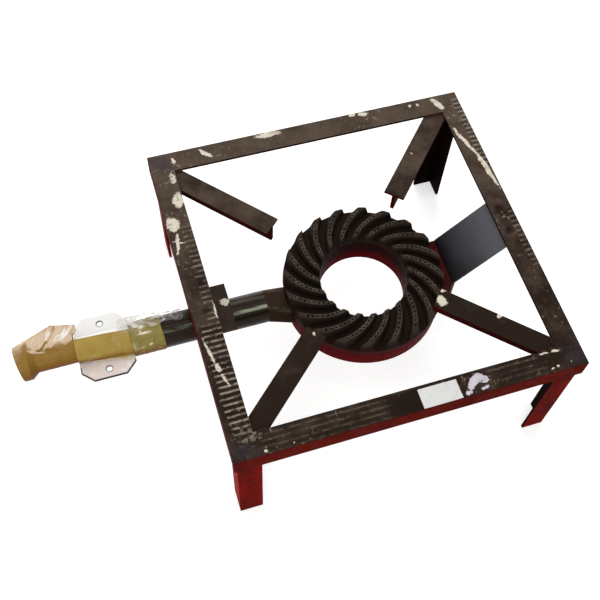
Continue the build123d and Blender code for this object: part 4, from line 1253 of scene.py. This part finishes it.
class STOVE_OT_paper(Operator):
    """Stick the blank label and the torn scraps on the front bar"""

    bl_idname = "stove.paper"
    bl_label = "Stick the paper"

    def execute(self, context):
        looks = context.scene.stove_paper
        self.label(looks)
        finish = paper_finish("scrap_paper", looks.scrap, looks.smear, 0.45)
        for name, (half, seed, path) in SCRAPS.items():
            self.scrap(name, np.array(path) * MM, half * MM, seed, finish)
        return {"FINISHED"}

    def label(self, looks):
        """Rectangle, very slightly cockled, with one corner that has let go."""
        along, across = np.meshgrid(np.linspace(0, 1, 50), np.linspace(0, 1, 30), indexing="ij")
        x = looks.label_start + along * looks.label_length
        y = -STAND_HALF + 0.8 * MM + across * looks.label_width
        corner = smooth_step(0.75, 1.05, along) * smooth_step(0.35, 0.0, across)
        cockle = (2 + waves(np.stack([x, y], -1), 9 * MM, LABEL_SEED)).clip(0)
        finish = paper_finish("label_paper", looks.label, looks.smear, 0.22)
        stick_paper("blank_label", x, y, 0.05 * MM * cockle + 0.9 * MM * corner, finish)

    def scrap(self, name, path, half, seed, finish):
        """Torn strip of paper: a path in plan with a ragged half width, closed in at its ends."""
        share = np.linspace(0, 1, 60)
        knots = np.linspace(0, 1, len(path))
        line = np.stack([np.interp(share, knots, path[:, 0]), np.interp(share, knots, path[:, 1])], -1)
        ahead = np.gradient(line, axis=0)
        ahead /= np.linalg.norm(ahead, axis=1)[:, None]
        side = np.stack([-ahead[:, 1], ahead[:, 0]], -1)
        across = np.linspace(-1, 1, 16)
        steps = share[:, None]
        ragged = 1 + 0.22 * waves(steps * 10, 1.2, seed) + 0.12 * waves(steps * 30, 1.2, seed + 1)
        width = half * ragged * np.sqrt(np.clip(1 - np.abs(2 * share - 1) ** 5, 0.05, 1))
        flat = line[:, None, :] + across[None, :, None] * width[:, None, None] * side[:, None, :]
        lift = 0.25 * MM * np.abs(across)[None, :] ** 6 * (1 + waves(flat, 5 * MM, seed + 2)).clip(0)
        stick_paper(name, flat[..., 0], flat[..., 1], lift, finish)


# Stage
WHITE = (1, 1, 1, 1)
SENSOR = 36
# Lamps: place and sides in metres; their powers are settings
LAMPS = {
    "key": ((0.45, 1.55, 1.3), (1.2, 1.2)),
    "fill": ((-0.85, -1.4, 0.72), (1.0, 0.35)),
    "strip": ((-0.05, -0.02, 1.7), (0.06, 1.6)),
}
LAMP_TARGET = (STAND_X - 0.05, 0, 0.1)


class STOVE_OT_stage(Operator):
    """Make the floor, the lamps, the surroundings and the camera"""

    bl_idname = "stove.stage"
    bl_label = "Set the stage"

    def execute(self, context):
        looks = context.scene.stove_stage
        context.scene.view_settings.view_transform = "Standard"
        self.floor(looks)
        self.surroundings(context.scene, looks)
        for name, (place, sides) in LAMPS.items():
            self.lamp(f"{name}_lamp", Vector(place), sides, getattr(looks, name))
        self.camera(context.scene, looks)
        return {"FINISHED"}

    def floor(self, looks):
        """Pale floor that the camera sees as white, except in the object's shadow."""
        half = looks.floor_size / 2
        mesh = bpy.data.meshes.new("floor")
        corners = [(-half, -half, 0), (half, -half, 0), (half, half, 0), (-half, half, 0)]
        mesh.from_pydata(corners, [], [(0, 1, 2, 3)])
        floor = bpy.data.objects.new("floor", mesh)
        bpy.context.scene.collection.objects.link(floor)
        finish = Finish("floor_white")
        glow = finish.product(finish.seen(), looks.floor_glow)
        finish.set(Base_Color=looks.floor, Roughness=0.9, Specular_IOR_Level=0.0)
        finish.set(Emission_Color=WHITE, Emission_Strength=glow)
        mesh.materials.append(finish.material)

    def surroundings(self, scene, looks):
        """Even pale surroundings, white where the camera or a reflection sees them."""
        world = bpy.data.worlds.new("pale_surroundings")
        world.use_nodes = True
        scene.world = world
        nodes = Nodes(world.node_tree)
        strength = nodes.node("ShaderNodeMapRange", Value=nodes.seen(), To_Min=looks.world, To_Max=1.0)
        background = world.node_tree.nodes["Background"]
        nodes.feed(background.inputs["Color"], WHITE)
        nodes.feed(background.inputs["Strength"], strength.outputs[0])

    def lamp(self, name, place, sides, power):
        """Rectangular soft lamp that points at the stove."""
        data = bpy.data.lights.new(name, "AREA")
        data.shape = "RECTANGLE"
        data.size, data.size_y = sides
        data.energy = power
        lamp = bpy.data.objects.new(name, data)
        lamp.location = place
        lamp.rotation_euler = (Vector(LAMP_TARGET) - place).to_track_quat("-Z", "Y").to_euler()
        bpy.context.scene.collection.objects.link(lamp)

    def camera(self, scene, looks):
        """Camera at its place, aimed along its axis and rolled about it."""
        data = bpy.data.cameras.new("camera")
        data.lens = looks.lens
        data.sensor_width = SENSOR
        data.shift_x, data.shift_y = looks.shift
        place, aim = Vector(looks.camera), Vector(looks.aim)
        ahead = (aim - place).normalized()
        level = ahead.cross(Vector((0, 0, 1))).normalized()
        right = Matrix.Rotation(-looks.roll, 3, ahead) @ level
        up = right.cross(ahead)
        camera = bpy.data.objects.new("camera", data)
        camera.matrix_world = Matrix.Translation(place) @ Matrix((right, up, -ahead)).transposed().to_4x4()
        scene.collection.objects.link(camera)
        scene.camera = camera


STEPS = (
    STOVE_OT_stand,
    STOVE_OT_burner,
    STOVE_OT_metalwork,
    STOVE_OT_welds,
    STOVE_OT_tape,
    STOVE_OT_paper,
    STOVE_OT_stage,
)


class STOVE_PT_panel(Panel):
    """Sidebar panel with every step and its settings"""

    bl_idname = "STOVE_PT_panel"
    bl_label = "Gas burner stove"
    bl_space_type = "VIEW_3D"
    bl_region_type = "UI"
    bl_category = "Stove"

    def draw(self, context):
        for step in STEPS:
            self.layout.operator(step.bl_idname)
        for key, group in LOOKS.items():
            box = self.layout.box()
            box.label(text=group.__doc__)
            for name in group.__annotations__:
                box.prop(getattr(context.scene, key), name)


CLASSES = (*LOOKS.values(), *STEPS, STOVE_PT_panel)


def register():
    """Make the classes known to Blender and hang the settings on the scene."""
    for group in CLASSES:
        bpy.utils.register_class(group)
    for key, group in LOOKS.items():
        setattr(bpy.types.Scene, key, PointerProperty(type=group))


def unregister():
    """Take the settings and the classes away again."""
    for key in LOOKS:
        delattr(bpy.types.Scene, key)
    for group in reversed(CLASSES):
        bpy.utils.unregister_class(group)


def main():
    """Build every piece in order."""
    register()
    bpy.ops.stove.stand()
    bpy.ops.stove.burner()
    bpy.ops.stove.metalwork()
    bpy.ops.stove.welds()
    bpy.ops.stove.tape()
    bpy.ops.stove.paper()
    bpy.ops.stove.stage()


if __name__ == "__main__":
    main()
